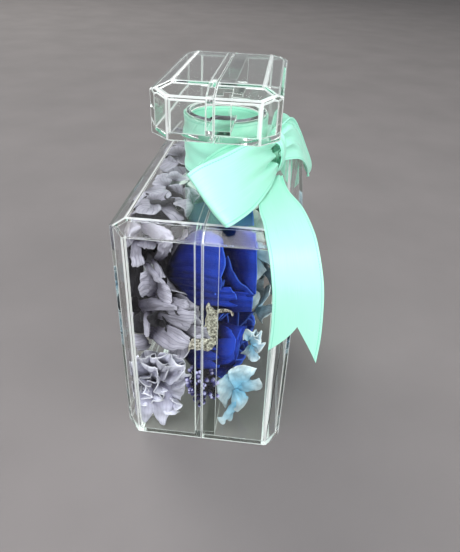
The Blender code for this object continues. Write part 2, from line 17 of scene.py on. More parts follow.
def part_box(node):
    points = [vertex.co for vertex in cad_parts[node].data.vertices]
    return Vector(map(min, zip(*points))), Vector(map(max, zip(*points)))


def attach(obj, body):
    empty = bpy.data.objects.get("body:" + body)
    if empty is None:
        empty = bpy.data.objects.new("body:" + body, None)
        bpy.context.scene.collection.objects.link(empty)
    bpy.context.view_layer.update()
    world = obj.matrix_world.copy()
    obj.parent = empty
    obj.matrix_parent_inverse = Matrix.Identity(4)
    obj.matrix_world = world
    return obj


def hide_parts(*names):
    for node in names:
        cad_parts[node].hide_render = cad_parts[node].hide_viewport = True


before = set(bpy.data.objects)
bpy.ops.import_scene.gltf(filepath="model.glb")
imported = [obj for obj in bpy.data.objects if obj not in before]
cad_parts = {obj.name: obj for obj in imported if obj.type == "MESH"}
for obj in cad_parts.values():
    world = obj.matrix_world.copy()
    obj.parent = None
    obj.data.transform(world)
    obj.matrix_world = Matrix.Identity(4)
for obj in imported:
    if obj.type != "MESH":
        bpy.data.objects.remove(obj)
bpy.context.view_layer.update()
MM = 0.001
low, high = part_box("case_back_half")
CASE_HALF_DEPTH = 29.0
HERE = np.array([(low.x + high.x) / 2, high.y - CASE_HALF_DEPTH * MM, 0.0])
print("seam plane's middle, in metres:", HERE.round(5))

# %% [markdown]
# The camera stands where the photograph was taken: left of the narrow wall, a little above the cap, tilted
# down by a third of a right angle. Its place and turn were fitted to the case's straight edges.

# %% Camera
PHOTO_HEIGHT = 552
PHOTO_MIDDLE = (230, 276)
FOCAL_PIXELS = 510.55
CAMERA_PLACE = np.array([-178.916, -19.948, 159.829])
CAMERA_FORWARD = Vector((0.83204395, 0.07536814, -0.54956575))
CAMERA_UP = Vector((0.54320236, 0.09004766, 0.83475902))
lens = bpy.data.cameras.new("photo_camera")
lens.sensor_fit = "VERTICAL"
lens.angle = 2 * math.atan(PHOTO_HEIGHT / 2 / FOCAL_PIXELS)
lens.clip_start = 0.005
camera = bpy.data.objects.new("photo_camera", lens)
bpy.context.scene.collection.objects.link(camera)
right = CAMERA_FORWARD.cross(CAMERA_UP).normalized()
up = right.cross(CAMERA_FORWARD).normalized()
turn = Matrix((right, up, -CAMERA_FORWARD.normalized())).transposed()
camera.matrix_world = Matrix.Translation(Vector(CAMERA_PLACE * MM + HERE)) @ turn.to_4x4()
bpy.context.scene.camera = camera
print("lens angle, degrees:", round(math.degrees(lens.angle), 2))

# %% [markdown]
# One function turns a paint chart's sRGB hex value into the linear numbers that a shader works in, and one
# adds a node with its settings and its links. Every material below is put together with these two.

# %% Colour and node helpers
def linear(code):
    """An sRGB hex value as linear red, green, blue and alpha."""
    parts = [int(code[i:i + 2], 16) / 255 for i in (1, 3, 5)]
    return [p / 12.92 if p <= 0.04045 else ((p + 0.055) / 1.055) ** 2.4 for p in parts] + [1.0]


def set_stops(elements, stops):
    """Fill a colour ramp: each stop is a share and a hex colour, in order."""
    for share, _ in stops[1:-1]:
        elements.new(share)
    for element, (share, colour) in zip(elements, stops):
        element.position = share
        element.color = linear(colour)


def add_node(tree, kind, settings=None, **links):
    """A new node: settings are its properties, and links its inputs, each a value or another's output."""
    node = tree.nodes.new("ShaderNode" + kind)
    for name, value in (settings or {}).items():
        if name == "stops":
            set_stops(node.color_ramp.elements, value)
        else:
            setattr(node, name, value)
    for name, value in links.items():
        key = int(name[1:]) if name[1:].isdigit() else name.replace("_", " ")
        if isinstance(value, bpy.types.NodeSocket):
            tree.links.new(value, node.inputs[key])
        else:
            node.inputs[key].default_value = value
    return node


def every(millimetres):
    """The scale of a pattern whose features are this far apart."""
    return 1.0 / (millimetres * MM)


def new_material(name, shown, **sockets):
    """A material with one Principled shader whose plain sockets are set directly."""
    made = bpy.data.materials.new(name)
    made.use_nodes = True
    made.diffuse_color = linear(shown)
    shader = made.node_tree.nodes["Principled BSDF"]
    shader.inputs["Base Color"].default_value = linear(shown)
    for socket, value in sockets.items():
        shader.inputs[socket.replace("_", " ")].default_value = value
    return made, made.node_tree, shader


# %% [markdown]
# The case is clear moulded polystyrene. Light passes it almost unchanged, and its polished skin mirrors
# the room, less so head-on, where a full mirror laid a haze over the flowers. A lamp's light could reach
# them only by luck if it had to find its way through every bent ray, so for lamps and for light scattered
# inside, the wall is simply open. A ray that is caught between the two skins of a wall, as in a glass
# fibre, is let out after five turns, because the real one comes out bright at the wall's edge. The rounded
# edges have a milky plastic of their own, a painted glow that stands in for that light, and the foot's
# are the milkiest.

# %% Clear polystyrene
GUIDED_TURNS = 4.5
HEAD_ON = "#8a8a8a"


def clear_plastic(name, shown, let_by, **sockets):
    made, tree, shader = new_material(name, shown, IOR=1.50, **sockets)
    shader.inputs["Specular Tint"].default_value = linear(HEAD_ON)
    path = add_node(tree, "LightPath")
    lamps = add_node(tree, "Math", {"operation": "MAXIMUM"}, i0=path.outputs["Is Shadow Ray"],
                     i1=path.outputs["Is Diffuse Ray"])
    caught = add_node(tree, "Math", {"operation": "GREATER_THAN"}, i0=path.outputs["Ray Depth"],
                      i1=GUIDED_TURNS)
    either = add_node(tree, "Math", {"operation": "MAXIMUM"}, i0=lamps.outputs[0],
                      i1=caught.outputs[0])
    open_wall = add_node(tree, "BsdfTransparent", Color=linear(let_by))
    both = add_node(tree, "MixShader", i0=either.outputs[0], i1=shader.outputs[0],
                    i2=open_wall.outputs[0])
    tree.links.new(both.outputs[0], tree.nodes["Material Output"].inputs["Surface"])
    return made


clear = clear_plastic("clear_moulded_polystyrene", "#fefffe", "#fcfffd", Roughness=0.01,
                      Transmission_Weight=1.0)
# The two milky plastics that follow are painted glow: lit white by the lamps, they stand in for the light
# that the clear edges gather from inside the wall.
edge_glow_plastic = clear_plastic("painted_glow_edge_polystyrene", "#f0f5f3", "#f8fbfa", Roughness=0.15,
                           Transmission_Weight=0.55)
foot_glow_plastic = clear_plastic("painted_glow_foot_polystyrene", "#f6fffb", "#f8fbfa", Roughness=0.30,
                          Transmission_Weight=0.15)

# %% [markdown]
# A moulded tray has no sharp edge: each is rounded where the steel of the mould was, and those narrow
# rounds, in their milky plastic of painted glow, draw the bright lines of the case. They are widest along
# the foot that it stands on. A copy of each CAD tray is merged into whole faces, and its edges are
# bevelled.

# %% Select helpers
def deselect():
    for thing in list(bpy.context.selected_objects):
        thing.select_set(False)


def take(thing):
    """Make one object the only selected and active one."""
    deselect()
    thing.select_set(True)
    bpy.context.view_layer.objects.active = thing
    return thing


def apply_all(thing):
    """Apply every modifier of an object, in order."""
    take(thing)
    for name in [m.name for m in thing.modifiers]:
        bpy.ops.object.modifier_apply(modifier=name)


def settle(piece, node):
    """Ride on the case and stand for a CAD node, which is hidden, and print the triangle count."""
    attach(piece, "root")
    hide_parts(node)
    faces = sum(len(p.vertices) - 2 for p in piece.data.polygons)
    print(piece.name, "triangles:", faces)


deselect()

# %% Trays with rounded edges
FOOT_ROUND = 1.4
PLAIN_SHARE = 0.33
FINE_SHARE = 0.13
CUT_SHARE = 0.04
CUT_FOOT = 85.9
CUT_REACH = 2.4
FOOT_REACH = 0.3
SEAM_REACH = 6.0
SHARP = math.radians(15)


def weigh_edges(mesh):
    """The foot's edges get the whole round, and the others the share of it that their place has."""
    work = bmesh.new()
    work.from_mesh(mesh)
    layer = work.edges.layers.float.new("bevel_weight_edge")
    for edge in work.edges:
        if edge.calc_face_angle(0.0) > SHARP:
            away = max(abs(v.co.y - HERE[1]) for v in edge.verts)
            highest = max(v.co.z for v in edge.verts)
            from_cut = max(abs(v.co.z - CUT_FOOT * MM) for v in edge.verts)
            if from_cut < CUT_REACH * MM:
                edge[layer] = CUT_SHARE
            elif away < SEAM_REACH * MM:
                edge[layer] = FINE_SHARE
            else:
                edge[layer] = 1.0 if highest < FOOT_REACH * MM else PLAIN_SHARE
    work.to_mesh(mesh)
    work.free()


def moulded_tray(node, name):
    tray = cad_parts[node].copy()
    tray.data = tray.data.copy()
    tray.name = name
    for key in [k for k in tray.keys() if k.startswith("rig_")]:
        del tray[key]
    tray.parent = None
    bpy.context.scene.collection.objects.link(tray)
    take(tray)
    bpy.ops.object.mode_set(mode="EDIT")
    bpy.ops.mesh.select_all(action="SELECT")
    bpy.ops.mesh.remove_doubles(threshold=0.005 * MM)
    bpy.ops.mesh.dissolve_limited(angle_limit=math.radians(0.5))
    bpy.ops.object.mode_set(mode="OBJECT")
    weigh_edges(tray.data)
    bevel = tray.modifiers.new("mould_round", "BEVEL")
    bevel.width = FOOT_ROUND * MM
    bevel.segments = 3
    bevel.limit_method = "WEIGHT"
    bevel.material = 1
    bevel.use_clamp_overlap = False
    tray.data.materials.clear()
    for plastic in (clear, edge_glow_plastic, foot_glow_plastic):
        tray.data.materials.append(plastic)
    apply_all(tray)
    # Rounds along the foot take the milkiest plastic, the strongest painted glow.
    for face in tray.data.polygons:
        if face.material_index == 1 and face.center.z < FOOT_ROUND * MM:
            face.material_index = 2
    bpy.ops.object.shade_smooth_by_angle(angle=math.radians(35))
    flat = tray.modifiers.new("flat_walls", "WEIGHTED_NORMAL")
    flat.mode = "FACE_AREA"
    flat.weight = 100
    flat.keep_sharp = True
    apply_all(tray)
    settle(tray, node)


moulded_tray("case_back_half", "tray_back")
moulded_tray("case_front_half", "tray_front")

# %% [markdown]
# A preserved petal is softened with glycerine and dyed. It keeps a matt, slightly velvety skin, veins that
# fan out from its foot, and a tone that differs from petal to petal. Each petal carries its own map, from
# side to side and from foot to rim, and a number of its own for its tone, which is set low as painted shade
# for petals that lie deep in a bloom. Its colour runs from a dark foot to a pale rim, partly the dye and
# partly painted shade at the foot and a painted highlight at the rim, and patches of it are painted lighter
# or darker as the shading of its crumpled facets.

# %% Petal material
def petal_material(name, foot, body, rim, vein, line_of, veins=9.0, depth=0.35, crumple_and_facet_shade=2.2, rough=0.62):
    """Colours from foot to rim, of the veins and of the thin line along the rim; veins to each side."""
    made, tree, shader = new_material(name, body, Roughness=rough, Sheen_Weight=0.02,
                                      Sheen_Roughness=0.4, Specular_IOR_Level=0.06)
    shader.inputs["Sheen Tint"].default_value = linear(rim)
    place = add_node(tree, "TexCoord")
    here = place.outputs["Object"]
    own = add_node(tree, "SeparateXYZ", Vector=place.outputs["UV"])
    tone = add_node(tree, "Attribute", {"attribute_name": "tone"})
    blotch = add_node(tree, "TexNoise", Vector=here, Scale=every(3.846), Detail=4.0, Roughness=0.6)
    along = add_node(tree, "Math", {"operation": "MULTIPLY_ADD"}, i0=blotch.outputs["Fac"], i1=0.30,
                     i2=own.outputs["Y"])
    # The colour runs from a dark foot to a pale rim: partly the dye, partly painted shade deep in the bloom
    # at the foot and a painted highlight towards the rim.
    shade = add_node(tree, "ValToRGB", {"stops": [(0.20, foot), (0.62, body), (1.0, rim)]},
                     Fac=along.outputs[0])
    wander = add_node(tree, "TexNoise", Vector=here, Scale=every(2.381), Detail=2.0)
    bent = add_node(tree, "Math", {"operation": "MULTIPLY_ADD"}, i0=wander.outputs["Fac"], i1=0.10,
                    i2=own.outputs["X"])
    spread = add_node(tree, "Math", {"operation": "MULTIPLY"}, i0=bent.outputs[0], i1=veins * math.tau)
    wave = add_node(tree, "Math", {"operation": "SINE"}, i0=spread.outputs[0])
    line = add_node(tree, "MapRange", {"interpolation_type": "SMOOTHSTEP"}, Value=wave.outputs[0],
                    From_Min=0.80, From_Max=1.0)
    marked = add_node(tree, "Math", {"operation": "MULTIPLY"}, i0=line.outputs[0], i1=depth)
    veined = add_node(tree, "Mix", {"data_type": "RGBA"}, i0=marked.outputs[0], i6=shade.outputs["Color"],
                      i7=linear(vein))
    # The thin pale line along the rim is partly the paler edge of the petal and partly a painted highlight
    # where the rim catches the light.
    border = add_node(tree, "MapRange", {"interpolation_type": "SMOOTHSTEP"}, Value=own.outputs["Y"],
                      From_Min=0.965, From_Max=1.0)
    rimmed = add_node(tree, "Mix", {"data_type": "RGBA"}, i0=border.outputs[0], i6=veined.outputs[2],
                      i7=linear(line_of))
    # The tone differs at random from petal to petal, and a low tone is painted shade for petals deep in a
    # bloom.
    level = add_node(tree, "MapRange", Value=tone.outputs["Fac"], To_Min=0.05, To_Max=0.98)
    crinkle = add_node(tree, "TexNoise", Vector=here, Scale=every(1.4286), Detail=5.0)
    # These cells make patches of the petal lighter or darker, a painted shading of the facets of a crumpled
    # petal; they also shape its bump.
    facets = add_node(tree, "TexVoronoi", {"feature": "F1"}, Vector=here, Scale=every(4.1667))
    turned = add_node(tree, "Math", {"operation": "MULTIPLY_ADD"}, i0=facets.outputs["Distance"],
                      i1=-0.28 * crumple_and_facet_shade, i2=1.0 + 0.10 * crumple_and_facet_shade)
    shaded = add_node(tree, "Math", {"operation": "MULTIPLY"}, i0=level.outputs[0], i1=turned.outputs[0])
    lit = add_node(tree, "HueSaturation", Color=rimmed.outputs[2], Value=shaded.outputs[0])
    tree.links.new(lit.outputs[0], shader.inputs["Base Color"])
    folded = add_node(tree, "Math", {"operation": "MULTIPLY_ADD"}, i0=facets.outputs["Distance"],
                      i1=crumple_and_facet_shade, i2=crinkle.outputs["Fac"])
    raised = add_node(tree, "Math", {"operation": "MULTIPLY_ADD"}, i0=marked.outputs[0], i1=-1.0,
                      i2=folded.outputs[0])
    bump = add_node(tree, "Bump", Height=raised.outputs[0], Strength=0.6, Distance=0.4 * MM)
    tree.links.new(bump.outputs[0], shader.inputs["Normal"])
    return made


# In each colour set below, the dark foot is partly painted shade, and the pale rim and rim line are partly a
# painted highlight.
grey_petal = petal_material("preserved_hydrangea_grey_lilac", "#2e2a38", "#9894a3", "#b9b5c5",
                            "#5a546c", "#c6c3d0", veins=7.0, depth=0.5)
white_petal = petal_material("preserved_hydrangea_green_white", "#8fb3a8", "#c6dcd6", "#e6efe9",
                             "#8ea9a6", "#f2f7f3", depth=0.25)
blue_petal = petal_material("preserved_hydrangea_pale_blue", "#6f9cba", "#a6c9dd", "#cfe4ee",
                            "#6f93ad", "#e2f0f6")
lilac_petal = petal_material("preserved_ruffled_bloom_lilac", "#36344b", "#aeacc2", "#d8d6e8",
                             "#8f8aa8", "#ebeaf5", veins=7.0)
sky_petal = petal_material("preserved_floret_light_blue", "#79bde0", "#b2dcf1", "#e0f4fd",
                           "#86c2e2", "#f2fbff", veins=6.0, depth=0.3)
rose_petal = petal_material("preserved_rose_royal_blue", "#02030c", "#0d1a66", "#1f3eb0",
                            "#070b36", "#4f7cff", veins=15.0, depth=0.25, crumple_and_facet_shade=0.5, rough=0.55)

# %% [markdown]
# The flowers fill the case from wall to wall, and none of them may reach into the plastic. The inside of
# the body is a set of planes, one for each wall, bevel and corner cut. Round the seam the back tray's lip
# stands a little further in. A petal that comes close to a plane is bent along it, as a real one is.

# %% The room inside the body
BODY = dict(half_width=51.75, half_depth=29.0, top=90.0, bevel_depth=4.9, side_bevel=4.0, top_bevel=2.6,
            bottom_bevel=3.2, cut_width=4.9, cut_height=4.1)
WALL = 1.8
PETAL_CLEARANCE = 0.35
LIP_REACH, LIP_FOOT, LIP_STAND, LIP_MARGIN, LIP_FADE = 5.0, 2.5, 1.3, 0.8, 4.0
BLOOMS = {
    "rose_upper": ((-25, 1, 66), 20),
    "rose_lower": ((-26, -1, 34), 18),
    "hydrangea_grey_upper": ((-31, 19, 79), 15),
    "hydrangea_grey_middle": ((-42, 15, 54), 15),
    "ruffled_bloom": ((-39, 14, 22), 16),
    "bud_spray": ((-45, -0.5, 25), 10),
    "seed_pod": ((-45.5, -2, 51), 8),
    "floret_blue_front": ((-45, -14, 23), 13),
    "floret_blue_side": ((-35, -14.6, 34), 8.5),
    "hydrangea_white_top": ((-7, 6, 81), 11),
    "hydrangea_grey_far": ((17, 15, 71), 22),
    "hydrangea_blue_far": ((18, 4, 28), 23),
    "hydrangea_white_far": ((38, -2, 55), 17),
}


def unit(vector):
    vector = np.array(vector, float)
    return vector / np.linalg.norm(vector)


def wall_planes(inset):
    """Each inner wall as a point, its outward direction, and whether the lip runs along it."""
    wide, deep, top = BODY["half_width"], BODY["half_depth"], BODY["top"]
    edge = deep - BODY["bevel_depth"]
    planes = []
    for side in (-1, 1):
        planes.append(((side * wide, 0, top - BODY["cut_height"]),
                       (side * BODY["cut_height"], 0, BODY["cut_width"]), True))
        planes.append(((side * wide, 0, 0), (side, 0, 0), True))
        planes.append(((0, side * deep, 0), (0, side, 0), False))
        for face in (-1, 1):
            planes.append(((side * wide, face * edge, 0),
                           (side * BODY["bevel_depth"], face * BODY["side_bevel"], 0), False))
    for face in (-1, 1):
        planes.append(((0, face * edge, top), (0, face * BODY["top_bevel"], BODY["bevel_depth"]), False))
        planes.append(((0, face * edge, 0), (0, face * BODY["bottom_bevel"], -BODY["bevel_depth"]), False))
    planes.append(((0, 0, top), (0, 0, 1), True))
    planes.append(((0, 0, 0), (0, 0, -1), True))
    return [(np.array(p, float) - unit(n) * inset, unit(n), lipped) for p, n, lipped in planes]


def room_of(name, slack=0.0):
    """The walls, and the borders halfway to each other bloom, moved out by some slack."""
    middle, reach = BLOOMS[name]
    middle = np.array(middle, float)
    planes = wall_planes(WALL + PETAL_CLEARANCE)
    for other, (site, other_reach) in BLOOMS.items():
        if other != name:
            apart = np.array(site, float) - middle
            far = np.linalg.norm(apart)
            share = (far ** 2 + reach ** 2 - other_reach ** 2) / (2 * far)
            planes.append((middle + apart / far * (share + slack), apart / far, False))
    return planes


def keep_in(points, planes, band=1.8, edge=0.25):
    """Bend points smoothly back inside planes, and then hold them there."""
    points = np.array(points, float)
    for soft in (True, False, False, False):
        for place, normal, lipped in planes:
            inside = (place - points) @ normal
            if lipped:
                past = np.maximum(np.maximum(-LIP_REACH - points[:, 1], points[:, 1] - LIP_FOOT), 0)
                inside = inside - LIP_STAND * (1 - np.clip((past - LIP_MARGIN) / LIP_FADE, 0, 1))
            if soft:
                eased = edge + (band - edge) * np.exp((inside - band) / (band - edge))
                push = np.where(inside < band, eased - inside, 0)
            else:
                push = np.maximum(edge - inside, 0)
            points = points - push[:, None] * normal
    return points


print("inner walls:", len(wall_planes(WALL)))

# %% [markdown]
# Every petal of a bloom starts as a copy of one flat grid, and gets its own points and its own shade. The
# copies are joined and given the thickness of a petal, which is about a third of a millimetre.

# %% Petal sheets
PETAL_THICKNESS = 0.32


def rest_points(thing):
    """A mesh's vertices as rows of x, y and z."""
    co = np.zeros(len(thing.data.vertices) * 3)
    thing.data.vertices.foreach_get("co", co)
    return co.reshape(-1, 3)


def place_points(thing, points):
    """Give a mesh its points, in millimetres from the seam plane."""
    thing.data.vertices.foreach_set("co", (points * MM + HERE).ravel())


def flat_grid(name, across, along):
    """A flat grid and its vertices, which run from -1 to 1 both ways."""
    bpy.ops.mesh.primitive_grid_add(x_subdivisions=across, y_subdivisions=along, size=2.0)
    sheet = bpy.context.active_object
    sheet.name = sheet.data.name = name
    return sheet, rest_points(sheet)


def flat_petal(across, along):
    """The grid that a bloom's petals are copied from: u runs from -1 to 1 across, t from 0 to 1 along."""
    sheet, co = flat_grid("petal_sheet", across, along)
    sheet.data.attributes.new("tone", "FLOAT", "POINT")
    return sheet, co[:, 0], (co[:, 1] + 1) / 2


def lay(sheet, points, tone):
    """Copy the flat sheet and give the copy its shape and its shade, one for all or one for each point."""
    copy = sheet.copy()
    copy.data = sheet.data.copy()
    bpy.context.scene.collection.objects.link(copy)
    place_points(copy, points)
    tones = np.full(len(points), 0.0) + tone
    copy.data.attributes["tone"].data.foreach_set("value", tones.astype(np.float32))
    return copy


def join_copies(name, copies, *patterns):
    """Join copies into one object and delete what they were copied from."""
    deselect()
    for copy in copies:
        copy.select_set(True)
    bpy.context.view_layer.objects.active = copies[0]
    bpy.ops.object.join()
    joined = bpy.context.active_object
    joined.name = joined.data.name = name
    for pattern in patterns:
        bpy.data.objects.remove(pattern, do_unlink=True)
    return joined


def thicken(sheet, millimetres):
    thick = sheet.modifiers.new("thickness", "SOLIDIFY")
    thick.thickness = millimetres * MM
    thick.offset = 0.0
    apply_all(sheet)


def gather_up(name, shapes, sheet, material, thickness=PETAL_THICKNESS):
    """Join a bloom's petals, given as points and shade, thicken them and smooth them."""
    bloom = join_copies(name, [lay(sheet, points, tone) for points, tone in shapes], sheet)
    bloom.data.materials.append(material)
    thicken(bloom, thickness)
    bpy.ops.object.shade_smooth()
    return bloom


# %% [markdown]
# A petal that can't be seen well is shaped by a formula: it is laid out between its foot and its tip, spread
# like a fan, cupped and ruffled. A petal that the photograph shows is sewn through seen points, each of
# which is a pixel and the plane in which it lies. Both then get the folds and the wander of a dried petal.

# %% Petal shapes
def fan(u, t, foot, tip, face, spread=0.95, cup=0.15, edge=0.2, ruffle=0.08, waves=3.0, phase=0.0,
        curl=0.0, fold=0.0, notch=0.0, side_cut=0.28):
    """A fan-shaped petal: foot and tip in millimetres, face the side that it shows."""
    foot, tip = np.array(foot, float), np.array(tip, float)
    reach = np.linalg.norm(tip - foot)
    out = (tip - foot) / reach
    side = unit(np.cross(np.array(face, float), out))
    normal = np.cross(out, side)
    angle = u * spread * (1 - 0.30 * t)
    radius = reach * t * (1 - side_cut * np.abs(u) ** 2.4 - notch * np.exp(-(u / 0.22) ** 2) * t ** 3)
    height = cup * t * t + edge * u * u * t + fold * np.abs(u) * t
    height = height + ruffle * t ** 1.6 * np.sin(waves * u * math.pi * 0.5 + phase)
    height = height + 0.35 * ruffle * t ** 3 * np.sin(2.7 * waves * u + 2.1 * phase)
    height = height + curl * np.clip((t - 0.62) / 0.38, 0, 1) ** 2
    return (foot + np.outer(radius * np.cos(angle), out) + np.outer(radius * np.sin(angle), side)
            + np.outer(reach * height, normal))


def on_curve(points, share):
    """Points of a smooth curve through the given ones, at shares from 0 to 1."""
    points = np.array(points, float)
    ends = np.vstack([2 * points[0] - points[1], points, 2 * points[-1] - points[-2]])
    place = np.minimum(share, 1 - 1e-9) * (len(points) - 1)
    span = place.astype(int)
    t = (place - span)[:, None]
    a, b, c, d = (ends[span + i] for i in range(4))
    return 0.5 * (2 * b + (c - a) * t + (2 * a - 5 * b + 4 * c - d) * t ** 2
                  + (3 * b - a - 3 * c + d) * t ** 3)


def seen_at(across, down, x):
    """The point of the plane at x, in millimetres, that the photograph shows at one pixel."""
    ray = (np.array(CAMERA_FORWARD) * FOCAL_PIXELS + np.array(right) * (across - PHOTO_MIDDLE[0])
           - np.array(up) * (down - PHOTO_MIDDLE[1]))
    return CAMERA_PLACE + ray * ((x - CAMERA_PLACE[0]) / ray[0])


def petal(foot, tip, spread, face=(-1.0, -0.1, 0.15), **form):
    """A laid petal: foot and tip are a pixel across and down and the plane x in which it lies."""
    return dict(foot=seen_at(*foot), tip=seen_at(*tip), spread=spread, face=face, **form)


def sewn(u, t, rows):
    """A petal through seen points: rows run from foot to rim, and each goes from side to side."""
    grid = np.array([[seen_at(*point) for point in row] for row in rows], float)
    along = on_curve(np.eye(len(rows)), t)
    across = on_curve(np.eye(len(rows[0])), (u + 1) / 2)
    return np.einsum("nr,nc,rcd->nd", along, across, grid)


def laid(u, t, form):
    return fan(u, t, **form) if isinstance(form, dict) else sewn(u, t, form)


def creased(points, seed, amount, size=6.0):
    """Sharp folds with no common direction, as a petal gets when it dries."""
    draw = random.Random(seed)
    moved = np.array(points)
    for _ in range(3):
        wave = unit([draw.gauss(0, 1) for _ in range(3)]) * (math.pi / size) * draw.uniform(0.7, 1.5)
        push = unit([draw.gauss(0, 1) for _ in range(3)])
        ridge = np.abs(np.sin(points @ wave + draw.uniform(0, 6.28)))
        moved = moved + np.outer((ridge - 0.6) * amount, push)
    return moved


def pleated(points, u, t, phase, deep, count):
    """Folds that fan out from the foot of a petal that lies against the narrow wall."""
    folds = np.abs(np.sin(u * count + 0.9 * np.sin(2.5 * t + phase) + phase))
    folds = folds + 0.4 * np.sin(u * 9.0 + t + phase)
    moved = np.array(points)
    moved[:, 0] -= deep * (folds - 0.6) * np.minimum(1, 0.3 + t)
    return moved


def wobble(points, seed, amount, size=9.0):
    """A slow wander that keeps repeated petals from looking alike."""
    draw = random.Random(seed)
    moved = np.array(points)
    for _ in range(3):
        wave = np.array([draw.gauss(0, 1) for _ in range(3)]) * (2.2 / size)
        push = unit([draw.gauss(0, 1) for _ in range(3)])
        moved = moved + np.outer(np.sin(points @ wave + draw.uniform(0, 6.28)) * amount, push)
    return moved


# %% [markdown]
# Hydrangea heads are balls of four-petalled florets. The two grey-lilac ones show their large, floppy
# petals against the narrow wall and under the top, so those that the photograph shows are laid one by
# one. The rest of each head is filled by a seeded rule that places florets evenly over a ball, facing
# outwards, and a second set deeper in, painted dark as painted shade.

# %% Hydrangea heads
def around(direction, spin):
    """Two directions square to a third, turned about it."""
    direction = unit(direction)
    first = unit(np.cross(direction, (0.31, 0.17, 0.93)))
    second = np.cross(direction, first)
    return (first * math.cos(spin) + second * math.sin(spin),
            second * math.cos(spin) - first * math.sin(spin))


def room_reach(middle, direction, planes):
    reach = 99.0
    for place, normal, _ in planes:
        slope = float(normal @ direction)
        if slope > 1e-6:
            reach = min(reach, float((place - middle) @ normal) / slope)
    return reach


def floret_petals(u, t, centre, facing, length, draw, planes, seed):
    """Four petals round one middle, each a little different."""
    shapes = []
    spin = draw.uniform(0, math.tau)
    for index in range(4):
        first, _ = around(facing, spin + index * math.pi / 2 + draw.uniform(-0.15, 0.15))
        lean = draw.uniform(-0.15, 0.55)
        out = unit(first + facing * lean)
        size = length * draw.uniform(0.8, 1.1)
        points = fan(u, t, centre, centre + out * size, facing - out * (facing @ out),
                     spread=draw.uniform(0.85, 1.1), cup=draw.uniform(-0.3, 0.1),
                     edge=draw.uniform(-0.05, 0.3), ruffle=draw.uniform(0.05, 0.12),
                     waves=draw.choice((2.0, 3.0)), phase=draw.uniform(0, 6.28),
                     curl=draw.uniform(-0.15, 0.1), fold=draw.uniform(0, 0.12))
        points = creased(wobble(points, seed * 91 + index, 0.35), seed * 91 + index, 0.4, 5.0)
        shapes.append((keep_in(points, planes), draw.uniform(0.55, 1.0)))
    return shapes


# Past this x, and where a head faces the narrow wall, its own laid petals show and florets are left out.
WALL_SIDE = -39.0
# The low tone of the deeper florets in a head without laid petals: painted shade.
DEEP_PAINTED_SHADE = 0.35


def hydrangea(colour, where, material, count, length, seed, own=(), shaded=0, least=0.7, slack=0.3):
    """A head: its own laid petals, the last of them painted dark as shade, then florets spread over a ball.
    """
    node = f"hydrangea_{colour}_{where}"
    cuts = 18 if own else 13
    sheet, u, t = flat_petal(cuts, cuts)
    planes = room_of(node, slack)
    loose = wall_planes(WALL + PETAL_CLEARANCE)
    draw = random.Random(seed)
    middle, reach = np.array(BLOOMS[node][0], float), BLOOMS[node][1]
    shapes = []
    for index, form in enumerate(own):
        points = pleated(laid(u, t, form), u, t, draw.uniform(0, 6.28), deep=0.34, count=2.6)
        points = creased(wobble(points, seed + index, 0.3, 6.0), seed + index, 0.6, 4.0)
        points = creased(points, seed + index + 300, 0.22, 1.9)
        # The last shaded petals are painted near black as shade; the others differ at random.
        light = 0.0 if index >= len(own) - shaded else draw.uniform(least, 1.0)
        shapes.append((keep_in(points, loose), light))
    for index in range(count):
        height = 1 - 2 * (index + 0.5) / count
        turn = index * math.pi * (3 - math.sqrt(5)) + seed
        facing = np.array([math.sqrt(1 - height ** 2) * math.cos(turn), height,
                           math.sqrt(1 - height ** 2) * math.sin(turn)])
        out = min(room_reach(middle, facing, planes) - 1.8, reach)
        if out < reach * 0.3:
            continue
        ahead = middle + facing * out
        seen = own and (facing[0] < -0.45 or ahead[0] < WALL_SIDE)
        if not seen:
            shapes += floret_petals(u, t, ahead, facing, length, draw, planes, seed + index)
        # A second floret deeper in is painted dark, as painted shade inside the head.
        inner = middle + (np.array(CAMERA_FORWARD) * 3.5 if seen else facing * out * 0.62)
        deep = floret_petals(u, t, inner, facing, length * 0.9, draw, planes, seed + index + 500)
        shapes += [(points, 0.0 if own else DEEP_PAINTED_SHADE) for points, _ in deep]
    bloom = gather_up(f"{colour}_hydrangea_{where}", shapes, sheet, material)
    settle(bloom, node)
